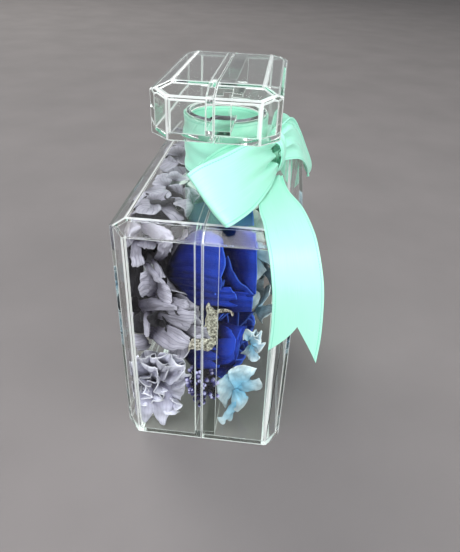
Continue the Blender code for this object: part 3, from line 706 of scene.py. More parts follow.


# %% [markdown]
# The laid petals of the two grey-lilac heads follow, each as three or four rows of seen points from its
# foot to its rim. Two petals painted near black as painted shade lie behind those of the middle head,
# where the photograph is dark between them. The four other heads are filled by the rule alone.

# %% Petals of the hydrangea heads
MIDDLE_PETALS = [
    [[(154.3, 311.6, -44.5), (154.6, 313.5, -44.6), (155.5, 315.9, -44.5)],
     [(165.4, 309.2, -46), (166.2, 314.2, -46.4), (165.7, 319.9, -46)],
     [(180.8, 308.5, -47.2), (180.8, 316.5, -47.8), (176.9, 323.9, -47.2)],
     [(198.5, 309.6, -47.4), (196.2, 319.9, -48.2), (186.6, 328.5, -47.6)]],
    [[(158.5, 323.9, -44.6), (155.8, 326.7, -44.8), (151.8, 334.2, -44.6)],
     [(168.5, 325.2, -46.6), (166.2, 331.9, -47.2), (156.9, 341.2, -46.8)],
     [(180.8, 329.6, -47.8), (178.5, 339.6, -48.4), (167.7, 347.3, -47.8)],
     [(189.7, 335.8, -48), (190.3, 343.9, -48.6), (183.1, 350.1, -48)]],
    [[(180.8, 327.3, -44.4), (182.3, 331.9, -44.4), (186.9, 338.1, -44.2)],
     [(194.6, 322.7, -46), (196.2, 330.4, -46.4), (196.2, 339.6, -46)],
     [(210, 323.5, -46.4), (214.3, 330.4, -46.8), (206.9, 339.6, -46.4)]],
    [[(171.2, 293.5, -43.6), (170.3, 299.6, -43.6), (170.3, 308.1, -43.6)],
     [(182.3, 293.5, -45), (183.1, 301.2, -45.4), (182.3, 309.6, -45)],
     [(195.4, 301.2, -45.6), (199.2, 304.2, -46), (198.5, 310.1, -45.6)]],
    [[(139.2, 299.6, -44), (140.8, 305, -45), (143.8, 311.9, -44.6)],
     [(151.5, 297.8, -45.4), (153.1, 302.7, -47.4), (154.6, 309.2, -46.6)],
     [(165.4, 299, -45.6), (166.9, 302.7, -47.8), (166.9, 307.6, -47)],
     [(176.2, 302.7, -46), (176.8, 305.2, -47.4), (175.5, 307.9, -47)]],
    [[(159.2, 281.2, -44), (157.7, 285.8, -44), (154.6, 293.5, -44)],
     [(150, 271.9, -46), (147.7, 281.2, -46.8), (145.4, 293.5, -46.4)],
     [(142.3, 271.9, -46.8), (138.6, 283.5, -47.6), (142.3, 297.8, -47)]],
    [[(153.1, 281.2, -44), (155.4, 287.3, -44.4), (154.6, 297.3, -44.2)],
     [(162.3, 281.2, -46.6), (163.8, 288.8, -47.2), (163.1, 299.6, -46.8)],
     [(170.3, 285.8, -47.2), (172.5, 293.5, -47.8), (170.3, 301.2, -47.4)]],
    [[(146.9, 308.8, -44), (150, 309.6, -44.6), (153.1, 308.8, -44)],
     [(144.6, 321.2, -45.6), (148.2, 322.7, -46.8), (151.5, 321.2, -45.8)],
     [(145.4, 333.5, -46), (148.2, 336.2, -47), (150.3, 332.7, -46.2)]],
    [[(146.9, 333.5, -44), (148.5, 338.1, -44.2), (153.1, 344.2, -44)],
     [(139.2, 331.9, -46), (140.8, 339.6, -46.8), (146.9, 348.1, -46.2)],
     [(133.1, 333.5, -46.6), (134.3, 341.2, -47.4), (139.2, 348.8, -46.8)]],
    [[(131.5, 238.8, -44.6), (136.2, 238.8, -45), (140.5, 239.6, -44.6)],
     [(131.8, 250.4, -46.4), (136.9, 251.2, -47.2), (142.3, 252.2, -46.2)],
     [(132.5, 263.5, -46.6), (137.7, 264.2, -47.4), (144.6, 261.2, -46.6)]],
    [[(156.2, 258.1, -44), (160.8, 258.8, -44.2), (164.6, 258.1, -44)],
     [(158, 248.8, -46), (164.2, 249.6, -47), (170.3, 249.6, -46)],
     [(159.5, 241.2, -46.6), (166.2, 240.2, -47.6), (172.3, 243, -46.8)]],
    [[(140.2, 260.4, -46), (144.6, 259.6, -46.8), (150, 262.7, -46)],
     [(146.6, 268.8, -47), (151.5, 269.2, -48), (157.4, 271.9, -47)],
     [(155.4, 279.6, -47), (160.5, 280.8, -47.8), (167.7, 283.5, -47)]],
    [[(151.5, 258.8, -45.6), (153.1, 258.1, -46), (155.2, 258.4, -45.6)],
     [(156.2, 268.1, -46.4), (158.6, 266.5, -47), (161.1, 265.8, -46.2)],
     [(161.5, 278.8, -46.4), (163.5, 276.5, -47), (165.7, 276.2, -46.4)]],
    [[(136.2, 239.9, -44.6), (146.9, 239.6, -45), (157.7, 240.8, -44.6)],
     [(138.5, 244.5, -46), (147.2, 243.9, -46.8), (156.9, 245.5, -46)],
     [(143.5, 248.1, -46.4), (148.8, 248.1, -47), (155.4, 249.2, -46.4)]],
    [[(166.2, 293.5, -44), (168.5, 296.5, -44.4), (169.2, 302.7, -44)],
     [(176.2, 295.8, -46), (178, 301.2, -46.6), (176.9, 307.3, -46)],
     [(187.2, 298.4, -46.4), (189.7, 303.5, -47), (187.2, 309.2, -46.4)]],
    [[(142, 300, -42.8), (145, 318, -43.2), (150, 336, -42.8)],
     [(170, 296, -43.2), (172, 316, -43.8), (174, 338, -43.2)],
     [(198, 300, -43.2), (200, 318, -43.8), (198, 338, -43.2)]],
    [[(176.2, 327.3, -43.4), (177.7, 333.5, -43.6), (179.2, 339.6, -43.4)],
     [(190, 325.8, -45), (191.5, 333.5, -45.6), (191.5, 341.2, -45)],
     [(200, 328.8, -45.4), (202.3, 334.2, -46), (199.2, 341.2, -45.4)]],
    [[(130, 257, -42), (136, 258, -42.3), (143, 260, -42)],
     [(129, 276, -42.2), (136, 276, -42.6), (144, 278, -42.2)],
     [(130, 296, -42), (137, 297, -42.3), (144, 298, -42)]],
    [[(158, 240, -41.5), (164, 240, -41.8), (171, 242, -41.5)],
     [(158, 256, -41.7), (164, 257, -42), (171, 258, -41.7)],
     [(162, 272, -41.5), (167, 274, -41.8), (173, 276, -41.5)]],
]
UPPER_PETALS = [
    [[(148, 226, -33.6), (153, 227, -34), (159, 226, -32.9)],
     [(138, 214, -30.5), (149, 212, -30), (160, 213, -28.5)],
     [(136, 205, -27.2), (147, 196, -20.8), (159, 202, -23.5)]],
    [[(162, 224, -31.4), (165, 224, -31.2), (170, 223, -30.2)],
     [(160, 210, -26.3), (171, 209, -27.2), (182, 214, -27.9)],
     [(162, 198, -20.2), (173, 195.5, -19.2), (185, 205, -24.2)]],
    [[(158, 201, -13.2), (163, 200, -13.1), (168, 200, -11.7)],
     [(154, 189, -9.8), (163, 187, -9.6), (172, 189, -8.5)],
     [(157, 179, -4.2), (166, 176, -2.2), (176, 181, -4.7)]],
    [[(170, 199, -10.8), (174, 199, -11.6), (179, 201, -11.8)],
     [(173, 188, -7.6), (182, 189, -10.1), (190, 193, -10.8)],
     [(178, 179, -2.7), (187, 177, -1.6), (194, 184, -6.2)]],
    [[(139.2, 219.6, -42.4), (142.3, 225.8, -44), (142.3, 231.9, -44)],
     [(153.1, 224.2, -44.6), (154.6, 231.2, -46.4), (153.1, 239.6, -45.6)],
     [(165.4, 226.5, -45), (166.6, 233.5, -46.6), (163.1, 241.2, -45.8)]],
    [[(151.5, 230.4, -43.6), (153.1, 236.5, -44), (154.6, 242.7, -43.6)],
     [(160.8, 228.8, -45.6), (162.3, 236.5, -46.6), (161.5, 244.2, -45.8)],
     [(170.3, 233.5, -46), (171.8, 241.2, -46.8), (170.8, 251.2, -46)]],
    [[(143.8, 230.4, -43.6), (139.2, 233.5, -44), (136.2, 241.2, -43.6)],
     [(140.8, 227.3, -45.4), (134.6, 232.7, -46.6), (132.8, 242.7, -45.8)],
     [(136.2, 225, -46), (131.8, 231.9, -47), (132.2, 244.2, -46.4)]],
    petal((166, 181, -20.0), (155, 168, -12.0), 0.80, (-0.9, -0.2, 0.5), ruffle=0.10, phase=4.1),
    petal((172, 168, -14.0), (162, 152, -6.0), 0.75, (-0.9, -0.2, 0.5), ruffle=0.12, phase=5.2),
    petal((170, 168, -14.0), (186, 157, -8.0), 0.70, (-0.8, -0.4, 0.6), ruffle=0.12, phase=0.8),
]
hydrangea("grey", "upper", grey_petal, count=11, length=11.5, seed=21, own=UPPER_PETALS, least=0.95,
          slack=1.0)
hydrangea("grey", "middle", grey_petal, count=9, length=10.5, seed=22, own=MIDDLE_PETALS, shaded=2,
          slack=1.0)
hydrangea("grey", "far", grey_petal, count=20, length=12.0, seed=29)
hydrangea("white", "top", white_petal, count=8, length=9.5, seed=28)
hydrangea("white", "far", white_petal, count=17, length=12.0, seed=31)
hydrangea("blue", "far", blue_petal, count=20, length=12.5, seed=30)

# %% [markdown]
# A preserved rose is a cup of broad petals in rounds, each round a little lower and wider than the one
# inside it. Every petal overlaps the next like a roof tile, and the outer rims curl back. The outer
# petals that lie against the narrow wall come first here, laid where the photograph shows them.

# %% Outer petals of the roses
UPPER_ROSE = [
    [[(184, 214, -34), (180, 222, -39), (182, 232, -43)],
     [(200, 206, -28), (203, 216, -35), (205, 230, -41)],
     [(226, 205, -25), (228, 215, -32), (230, 230, -39)],
     [(250, 208, -25), (253, 216, -31), (254, 228, -37)]],
    [[(220.8, 230.4, -41), (220.8, 259.6, -42), (228.5, 290.4, -42)],
     [(236.2, 228.1, -43), (237.7, 261.2, -42.5), (239.2, 293.5, -43)],
     [(247.7, 228.1, -45.5), (249.2, 262.7, -45.5), (249.2, 293.5, -45.5)],
     [(256.5, 230.4, -46), (256.8, 264.2, -46.2), (254.9, 292.7, -46.3)]],
    [[(216.2, 267.3, -43), (222.3, 287.3, -43.5), (236.2, 299.6, -44)],
     [(222.3, 261.2, -44), (231.5, 281.2, -44.5), (245.4, 295, -45.5)],
     [(227.5, 255.3, -45.5), (236.8, 275, -46), (254.9, 293.5, -47)]],
    [[(170.3, 241.2, -42.5), (167.5, 258.1, -43), (170.3, 271.9, -43.5)],
     [(183.8, 229.6, -45), (183.8, 255, -46.8), (183.8, 271.9, -46.4)],
     [(205.4, 229.6, -46), (205.4, 255, -48), (205.4, 275.8, -47.4)],
     [(222.3, 239.6, -46), (226.3, 261.2, -47.6), (221.1, 277.3, -47.2)]],
    [[(168.5, 262.7, -43), (166, 271.9, -43.5), (170.3, 281.2, -43.5)],
     [(186.9, 267.3, -46.5), (186.9, 276.5, -47.3), (188.5, 285, -46.6)],
     [(205.4, 271.9, -47.8), (205.4, 279.6, -48.4), (205.4, 288.8, -47.6)],
     [(220.8, 275.8, -47.4), (222.3, 282.7, -47.8), (220.8, 290.4, -47.2)]],
    [[(169.2, 276.5, -42.5), (173.1, 284.2, -43), (181.5, 293.5, -43)],
     [(191.5, 281.2, -46), (193.1, 290.4, -46.6), (194.6, 301.2, -46)],
     [(216.2, 285.8, -46.8), (217.7, 293.5, -47.2), (216.2, 303.5, -46.6)],
     [(230, 287.3, -46.8), (236.2, 295, -47), (237.7, 305.8, -46.4)]],
    [[(210, 293.5, -44), (213.1, 302.7, -44), (222.3, 313.5, -44)],
     [(231.5, 290.4, -46.4), (233.1, 301.2, -46.6), (236.2, 315, -46)],
     [(253.8, 291.9, -46.6), (253.1, 302.7, -46.8), (251.5, 316.5, -46.2)]],
]
LOWER_ROSE = [
    [[(216.2, 318.1, -42), (213.1, 341.2, -43), (216.2, 363.5, -43)],
     [(228.5, 318.1, -43), (228.5, 342.7, -44), (228.5, 364.2, -44)],
     [(239.5, 318.1, -45), (239.5, 342.7, -45.6), (239.5, 365.5, -45.6)],
     [(248.5, 316.5, -45.5), (245.1, 341.2, -46.2), (244.6, 363.6, -46.2)]],
    [[(216.2, 311.9, -43.5), (216.2, 327.3, -44), (222.3, 342.7, -44)],
     [(222.3, 312.7, -45), (226.2, 327.3, -45.6), (231.5, 342.7, -45.4)],
     [(225.7, 314.2, -46), (230.8, 325.8, -46.6), (236.5, 337.3, -46.4)]],
    [[(250, 315, -44), (247.7, 327.3, -44), (243.8, 341.2, -44)],
     [(247.2, 315.8, -45.4), (244.2, 327.3, -45.8), (240.5, 339.6, -45.4)],
     [(244.6, 316.5, -46.2), (241.1, 326.5, -46.6), (237.2, 337.3, -46.4)]],
    [[(180.8, 348.8, -40), (183.1, 356.5, -41), (190, 365.8, -41)],
     [(200.8, 341.2, -44), (202.3, 351.9, -45), (202.3, 365.8, -44)],
     [(218.5, 339.6, -45.6), (220.8, 351.9, -46.4), (219.2, 365.8, -45.6)]],
    [[(206.9, 338.1, -44), (210, 350.4, -45), (213.1, 362.7, -45)],
     [(220.8, 337.3, -46.4), (222.3, 350.4, -47), (223.8, 363.5, -46.8)],
     [(236.2, 338.1, -46.6), (237.7, 350.4, -47), (238.9, 364.2, -46.8)]],
    [[(206.9, 358.1, -42), (222.3, 359.6, -42.5), (236.2, 361.2, -42)],
     [(210, 367.3, -43.5), (222.3, 368.8, -44), (233.1, 368.8, -43.5)],
     [(216.2, 376.5, -43.5), (222.3, 380.4, -44), (226.2, 376.5, -43.5)]],
]
print("laid rose petals:", len(UPPER_ROSE) + len(LOWER_ROSE))

# %% [markdown]
# The rounds go from the tight heart to the open rim. A rose's axis points at its face, which is turned to
# the front of the case, and its petals swell from the foot and then run up to the rim.

# %% Roses
ROSE_THICKNESS = 0.42
# Each round's spread, height, number of petals, half their span in radians, and curl.
ROUNDS = ((0.13, 1.02, 2, 1.9, 0.00), (0.26, 1.03, 3, 1.5, 0.02), (0.40, 1.03, 3, 1.35, 0.04),
          (0.55, 1.00, 4, 1.15, 0.07), (0.70, 0.95, 5, 1.00, 0.12), (0.85, 0.89, 5, 0.98, 0.20),
          (1.00, 0.82, 5, 0.95, 0.30))


def rose(name, node, axis, radius, depth, seed, own):
    sheet, u, t = flat_petal(20, 22)
    planes = room_of(node, 0.3)
    loose = room_of(node, 3.0)
    draw = random.Random(seed)
    axis = unit(axis)
    middle = np.array(BLOOMS[node][0], float)
    root = middle - axis * depth * 0.5
    shapes = []
    for index, rows in enumerate(own):
        points = pleated(sewn(u, t, rows), u, t, draw.uniform(0, math.tau), deep=0.65, count=4.2)
        points = wobble(points, seed * 31 + index, 0.22, 7.0)
        shapes.append((keep_in(points, loose), draw.uniform(0.5, 1.0)))
    for layer, (spread, height, petals, span, curl) in enumerate(ROUNDS):
        for index in range(petals):
            turn = math.tau * (index + 0.37 * layer) / petals + draw.uniform(-0.12, 0.12)
            lift = draw.uniform(-0.03, 0.03)
            phase = draw.uniform(0, math.tau)
            tilt = draw.uniform(0.05, 0.10)
            wide = span * (0.45 + 0.55 * np.sin(math.pi * np.minimum(t * 0.62 + 0.10, 1.0)))
            angle = turn + u * wide
            first, second = around(axis, 0.0)
            swell = np.sin(math.pi * 0.5 * np.minimum(1.0, t * 1.8)) ** 0.7
            rim = np.clip((t - 0.66) / 0.34, 0, 1)
            out = radius * spread * (0.10 + 0.90 * swell) * (1 + tilt * u)
            out = out + radius * rim ** 2 * (curl + 0.035 * np.sin(3 * u + phase))
            out = out + radius * 0.012 * np.sin(5 * u + 3 * t + phase) * t
            rise = depth * ((height + lift) * t - 0.34 * curl * rim ** 2 - 0.13 * u * u * t ** 2
                            + 0.012 * np.sin(4.3 * u + phase) * rim)
            around_axis = np.outer(np.cos(angle), first) + np.outer(np.sin(angle), second)
            points = root + np.outer(rise, axis) + around_axis * out[:, None]
            points = wobble(points, seed * 77 + layer * 9 + index, 0.30, 8.0)
            shapes.append((keep_in(points, planes), draw.uniform(0.3, 0.9)))
    settle(gather_up(name, shapes, sheet, rose_petal, ROSE_THICKNESS), node)


rose("blue_rose_upper", "rose_upper", (-0.10, -1.0, 0.08), radius=16.8, depth=29.0, seed=3,
     own=UPPER_ROSE)
rose("blue_rose_lower", "rose_lower", (-0.16, -1.0, -0.04), radius=15.4, depth=27.0, seed=5,
     own=LOWER_ROSE)

# %% [markdown]
# The pale lilac bloom at the bottom is a double one with crimped petals. Its outer petals fan out against
# the narrow wall and the floor of the case, and a crowd of small frilled ones fills its middle.

# %% Ruffled bloom
LARGE_RUFFLES = [
    [[(151.5, 376.5, -42), (153.1, 379.6, -42.6), (156.2, 379.6, -42)],
     [(139.2, 390.4, -45.6), (145.4, 395, -46.8), (153.1, 393.5, -46)],
     [(136.2, 405.8, -47), (144.6, 410.4, -48.2), (155.4, 405.8, -47.2)],
     [(139.2, 418.1, -47.4), (144.2, 423.9, -48), (151.5, 414.2, -47.4)]],
    [[(154.6, 378.1, -42), (157.7, 379.6, -42.6), (160.8, 378.1, -42)],
     [(151.5, 393.5, -45.6), (160.8, 395, -47), (171.5, 388.8, -46)],
     [(153.1, 407.3, -47), (163.1, 410.4, -48.4), (173.8, 404.2, -47.2)],
     [(156.9, 416.5, -47.4), (163.1, 424.5, -48), (167.7, 415, -47.4)]],
    [[(159.2, 376.5, -42), (160.8, 379.6, -42.4), (160.8, 384.2, -42)],
     [(173.1, 375, -45.6), (173.1, 384.2, -46.4), (170, 393.5, -45.8)],
     [(184.2, 374.2, -46.4), (185.7, 385.8, -47), (180.8, 398.1, -46.6)]],
    [[(156.2, 371.9, -42), (160.8, 370.4, -42.4), (163.8, 373.5, -42)],
     [(157.7, 359.6, -45), (168.5, 359.6, -46.2), (176.2, 365.8, -45.4)],
     [(160.8, 350.4, -46), (176.2, 351.9, -46.8), (184.8, 362.7, -46.2)]],
]
OUTER_RUFFLES = [
    petal((158, 374, -40.0), (192, 366, -47.0), 0.55, (-1.0, -0.2, 0.4), ruffle=0.15, phase=2.2),
    petal((156, 372, -40.0), (178, 351, -47.0), 0.65, (-1.0, -0.1, 0.5), ruffle=0.14, phase=3.1),
    petal((154, 372, -40.0), (158, 350, -47.0), 0.62, (-1.0, 0.0, 0.5), ruffle=0.14, phase=4.0),
    petal((152, 374, -40.0), (138, 354, -47.5), 0.70, (-1.0, 0.1, 0.4), ruffle=0.12, phase=5.0),
    petal((150, 379, -40.0), (133, 377, -48.0), 0.80, (-1.0, 0.1, 0.2), ruffle=0.12, phase=0.5),
    petal((150, 382, -40.0), (135, 402, -48.0), 0.80, (-1.0, 0.1, 0.0), ruffle=0.10, phase=2.7),
    petal((160, 384, -40.5), (183, 407, -47.0), 0.60, (-1.0, -0.1, 0.0), ruffle=0.12, phase=1.6),
]
FRILLS = 16
BACK_PETALS = 14


def ruffled(name, node, seed):
    sheet, u, t = flat_petal(18, 14)
    planes = room_of(node, 0.8)
    draw = random.Random(seed)
    shapes = []
    for index, rows in enumerate(LARGE_RUFFLES):
        points = creased(sewn(u, t, rows), seed + index, 0.6, 4.0)
        shapes.append((keep_in(points, planes), draw.uniform(0.6, 1.0)))
    for index, form in enumerate(OUTER_RUFFLES):
        points = creased(fan(u, t, side_cut=0.20, waves=5.0, **form), seed + index, 0.5, 4.0)
        shapes.append((keep_in(points, planes), draw.uniform(0.5, 1.0)))
    heart = seen_at(156, 378, -40.0)
    for index in range(FRILLS):
        lean = math.radians(10 + 60 * index / (FRILLS - 1))
        first, _ = around((-1.0, -0.1, 0.15), index * 2.4)
        out = unit(unit((-1.0, -0.1, 0.15)) * math.cos(lean) + first * math.sin(lean))
        size = draw.uniform(6.5, 9.5)
        points = fan(u, t, heart, heart + out * size, first, spread=draw.uniform(0.7, 1.1), cup=0.05,
                     edge=draw.uniform(0.1, 0.5), ruffle=draw.uniform(0.10, 0.16), waves=4.0,
                     phase=draw.uniform(0, 6.28), curl=draw.uniform(-0.3, 0.2), side_cut=0.15)
        points = creased(points, seed + 40 + index, 0.3, 5.0)
        shapes.append((keep_in(points, planes), draw.uniform(0.35, 1.0)))
    for index in range(BACK_PETALS):
        height = 1 - 2 * (index + 0.5) / BACK_PETALS
        turn = index * 2.4
        back = np.array([abs(math.cos(turn)) * math.sqrt(1 - height ** 2), height,
                         math.sin(turn) * math.sqrt(1 - height ** 2)])
        points = fan(u, t, heart, heart + back * draw.uniform(10, 13), around(back, turn)[0],
                     spread=0.8, cup=0.2, edge=0.2, ruffle=0.15, waves=5.0, phase=draw.uniform(0, 6.28))
        shapes.append((keep_in(wobble(points, seed + 80 + index, 0.4), planes), draw.uniform(0.2, 0.8)))
    settle(gather_up(name, shapes, sheet, lilac_petal), node)


ruffled("lilac_ruffled_bloom", "ruffled_bloom", 24)

# %% [markdown]
# The light-blue florets are thin, almost see-through petals that have dried into curls and narrow twisted
# strips. The large one leans on the narrow wall, and the small one sits beside the lower rose.

# %% Light-blue florets
FRONT_FLORET = [
    [[(236.2, 388.8, -46), (239.2, 384.2, -46.4), (243.8, 383.5, -46)],
     [(228.5, 375, -47), (237.7, 371.9, -47.8), (251.5, 375, -47.2)],
     [(230, 367, -47.4), (243.1, 363.6, -48.4), (257.1, 367, -47.8)]],
    [[(237.7, 389.6, -46), (238.5, 385.8, -46.6), (239.2, 380.4, -46.2)],
     [(251.5, 389.2, -46.8), (252.3, 384.2, -47.8), (251.5, 378.1, -47)],
     [(260.5, 387, -47), (262.6, 381.9, -48), (259.5, 376.5, -47.4)]],
    [[(240.8, 385.8, -45), (237.7, 379.6, -45.2), (234.6, 371.9, -45)],
     [(231.5, 393.5, -46.2), (226.9, 384.2, -46.8), (225.4, 373.5, -46.2)],
     [(225.4, 405.8, -46.8), (218.5, 396.5, -47.4), (216.5, 379.6, -46.8)]],
    [[(233.1, 388.8, -46.4), (237.7, 387.3, -47), (243.8, 389.6, -46.6)],
     [(231.5, 399.6, -47.2), (239.2, 399.6, -48.2), (248.5, 396.5, -47.6)],
     [(231.5, 408.1, -47.4), (237.7, 409.6, -48), (243.1, 405.8, -47.6)]],
    [[(236.2, 395, -47), (238.5, 396.5, -47.8), (241.5, 398.8, -47.2)],
     [(228.5, 405.8, -47.4), (230.8, 408.1, -48.2), (233.8, 410.4, -47.6)],
     [(222.3, 415, -47.6), (224.2, 417.5, -48.2), (226.6, 418.8, -47.8)],
     [(218, 416.8, -47.8), (219.2, 420.8, -48.2), (223.2, 422.4, -47.9)]],
    [[(231.5, 407.3, -47.2), (232.8, 407.9, -47.8), (234.6, 407.9, -47.3)],
     [(229.2, 413.5, -47.4), (230.8, 414.1, -48), (232.8, 413.5, -47.5)],
     [(228.5, 418.8, -47.5), (230, 419.6, -47.9), (231.5, 418.1, -47.6)]],
]
SIDE_FLORET = [
    petal((251, 341, -36.0), (264, 338, -38.5), 0.75, ruffle=0.16, phase=1.0, notch=0.2),
    petal((251, 340, -36.0), (250, 325, -38.0), 0.60, ruffle=0.16, phase=2.0),
    petal((252, 343, -36.0), (255, 360, -38.5), 0.62, ruffle=0.16, phase=3.0),
    petal((251, 343, -36.0), (243, 352, -37.0), 0.60, ruffle=0.16, phase=4.0),
    petal((253, 342, -36.0), (262, 350, -38.0), 0.50, ruffle=0.18, phase=5.0, notch=0.2),
    petal((251, 340, -36.0), (259, 329, -38.0), 0.50, ruffle=0.18, phase=0.3),
]
FLORET_THICKNESS = 0.28
VEIL_TONE = 0.5


def loose_floret(name, node, own, seed, veil=None):
    """A floret whose petals are all laid; veil is the one that lies behind the rest."""
    sheet, u, t = flat_petal(14, 14)
    planes = room_of(node, 1.0)
    draw = random.Random(seed)
    shapes = []
    for index, form in enumerate(own):
        points = laid(u, t, form)
        points = creased(points, seed + index, 0.55, 3.0)
        shapes.append((keep_in(points, planes), VEIL_TONE if index == veil else draw.uniform(0.5, 1.0)))
    settle(gather_up(name, shapes, sheet, sky_petal, FLORET_THICKNESS), node)


loose_floret("blue_floret_front", "floret_blue_front", FRONT_FLORET, 26, veil=2)
loose_floret("blue_floret_side", "floret_blue_side", SIDE_FLORET, 27)

# %% [markdown]
# The navy spray is a twiggy head: thin forked stalks, each ending in a round bud with a paler, dusty tip.
# One bud and one twig are modelled, and a seeded rule copies them. The bud starts as a small ball that is
# pulled out towards its tip, and flattened balls painted near black stand behind them as painted shade.

# %% Bud and twig
bud_skin, tree, shader = new_material("dried_bud_navy", "#1c1b3a", Roughness=0.6, Specular_IOR_Level=0.05)
tone = add_node(tree, "Attribute", {"attribute_name": "tone"})
# The ramp's darkest stop paints the blobs behind the buds near black, as painted shade; its pale end gives
# the dusty tips.
dust_and_shade = add_node(tree, "ValToRGB", {"stops": [(0.15, "#0b0a18"), (0.55, "#3a3768"), (1.0, "#b4b0d6")]},
                Fac=tone.outputs["Fac"])
tree.links.new(dust_and_shade.outputs[0], shader.inputs["Base Color"])
place = add_node(tree, "TexCoord")
pits = add_node(tree, "TexNoise", Vector=place.outputs["Object"], Scale=every(0.6667), Detail=3.0)
bump = add_node(tree, "Bump", Height=pits.outputs["Fac"], Strength=0.5, Distance=0.2 * MM)
tree.links.new(bump.outputs[0], shader.inputs["Normal"])


def pattern(name):
    """Name the new active mesh, make room for its shade, and give its vertices."""
    thing = bpy.context.active_object
    thing.name = name
    thing.data.attributes.new("tone", "FLOAT", "POINT")
    return thing, rest_points(thing)


def ball_pattern(level):
    bpy.ops.mesh.primitive_ico_sphere_add(subdivisions=level, radius=1.0)
    return pattern("bud")


def rod_pattern(sides, cuts):
    bpy.ops.mesh.primitive_cylinder_add(vertices=sides, radius=1.0, depth=1.0)
    bpy.ops.object.mode_set(mode="EDIT")
    for height in [0.0] + [cut / cuts - 0.5 for cut in range(1, cuts)]:
        bpy.ops.mesh.select_all(action="SELECT")
        bpy.ops.mesh.bisect(plane_co=(0, 0, height), plane_no=(0, 0, 1))
    bpy.ops.object.mode_set(mode="OBJECT")
    return pattern("twig")


def twig_points(form, start, end, sag, thick):
    """A bent rod: form holds the unit rod's points, thick its radius at either end."""
    share = form[:, 2] + 0.5
    first, second = around(end - start, 0.0)
    line = start + np.outer(share, end - start) + np.outer(np.sin(share * math.pi), sag)
    radius = thick[0] + (thick[1] - thick[0]) * share
    return line + np.outer(form[:, 0] * radius, first) + np.outer(form[:, 1] * radius, second)


FORKS = 24
SHADE_BLOBS = 46


def bud_points(form, tip, aim, size):
    """A pear-shaped bud on a twig's tip: form holds the unit ball's points."""
    first, second = around(aim, 0.0)
    rise = form[:, 2]
    pear = size * (1.0 - 0.18 * rise)
    return (tip + np.outer(rise * size * 1.25, aim) + np.outer(form[:, 0] * pear, first)
            + np.outer(form[:, 1] * pear, second))


def buds(name, node, seed):
    ball, ball_form = ball_pattern(3)
    rod, rod_form = rod_pattern(6, 5)
    planes = room_of(node, 2.0)
    draw = random.Random(seed)
    joint = np.array(BLOOMS[node][0], float) + (1.5, 2.3, -1.0)
    copies = []
    for index in range(FORKS):
        height = 1 - 2 * (index + 0.5) / FORKS
        turn = index * 2.4
        ring = math.sqrt(1 - height ** 2)
        facing = unit((ring * math.cos(turn) - 0.6, ring * math.sin(turn), height))
        fork = keep_in((joint + facing * draw.uniform(2.6, 5.0))[None], planes)[0]
        sag = np.array([draw.gauss(0, 0.5) for _ in range(3)])
        copies.append(lay(rod, twig_points(rod_form, joint, fork, sag, (0.55, 0.35)), 0.15))
        for _ in range(3):
            aim = unit(facing + 0.6 * np.array([draw.gauss(0, 1) for _ in range(3)]))
            size = draw.uniform(0.5, 0.85)
            tip = keep_in((fork + aim * draw.uniform(3.0, 5.5))[None], planes, 1.8, size + 0.2)[0]
            copies.append(lay(rod, twig_points(rod_form, fork, tip, sag * 0.5, (0.30, 0.20)), 0.18))
            glow = draw.uniform(0.25, 1.0)
            tones = np.clip(0.35 + glow * 0.65 * (ball_form[:, 2] + 0.4), 0, 1)
            copies.append(lay(ball, bud_points(ball_form, tip, unit(tip - fork), size), tones))
    # Flattened balls, painted near black, fill the middle of the spray as painted shade.
    for index in range(SHADE_BLOBS):
        middle = joint + [draw.uniform(1.0, 6.0), draw.uniform(-5.0, 5.5), draw.uniform(-6.5, 5.5)]
        size = [draw.uniform(0.4, 0.8), draw.uniform(1.5, 3.0), draw.uniform(1.5, 3.2)]
        points = wobble(middle + ball_form * size, seed + index, 0.2, 2.0)
        copies.append(lay(ball, keep_in(points, planes), 0.04))
    spray = join_copies(name, copies, ball, rod)
    spray.data.materials.append(bud_skin)
    bpy.ops.object.shade_smooth()
    settle(spray, node)


buds("navy_bud_spray", "bud_spray", 24)

# %% [markdown]
# The husk is the split, woody shell of a seed head. Its lobes end in two spikes, one straight up and one
# that hooks to the side, and its skin is pitted and cracked. The lobes are petals of a thicker wall, and
# the pits and cracks are a bump in their material.

# %% Dried husk
husk_skin, tree, shader = new_material("dried_husk_beige", "#a79f8c", Roughness=0.85, Specular_IOR_Level=0.2)
place = add_node(tree, "TexCoord")
cells = add_node(tree, "TexVoronoi", {"feature": "DISTANCE_TO_EDGE"}, Vector=place.outputs["Object"],
                 Scale=every(1.1111))
# One noise mottles the skin and also raises its bump, so the skin is darkest where it is lowest: partly its
# own colour, partly painted shade in the pits.
grime_and_pit_shade = add_node(tree, "TexNoise", Vector=place.outputs["Object"], Scale=every(1.1111), Detail=6.0,
                 Roughness=0.75)
worn_and_pit_shade = add_node(tree, "ValToRGB", {"stops": [(0.40, "#38332d"), (0.49, "#8b8479"), (0.62, "#d6d0c4")]},
                Fac=grime_and_pit_shade.outputs["Fac"])
tree.links.new(worn_and_pit_shade.outputs[0], shader.inputs["Base Color"])
rough = add_node(tree, "Math", {"operation": "ADD"}, i0=grime_and_pit_shade.outputs["Fac"],
                 i1=cells.outputs["Distance"])
bump = add_node(tree, "Bump", Height=rough.outputs[0], Strength=0.9, Distance=0.35 * MM)
tree.links.new(bump.outputs[0], shader.inputs["Normal"])

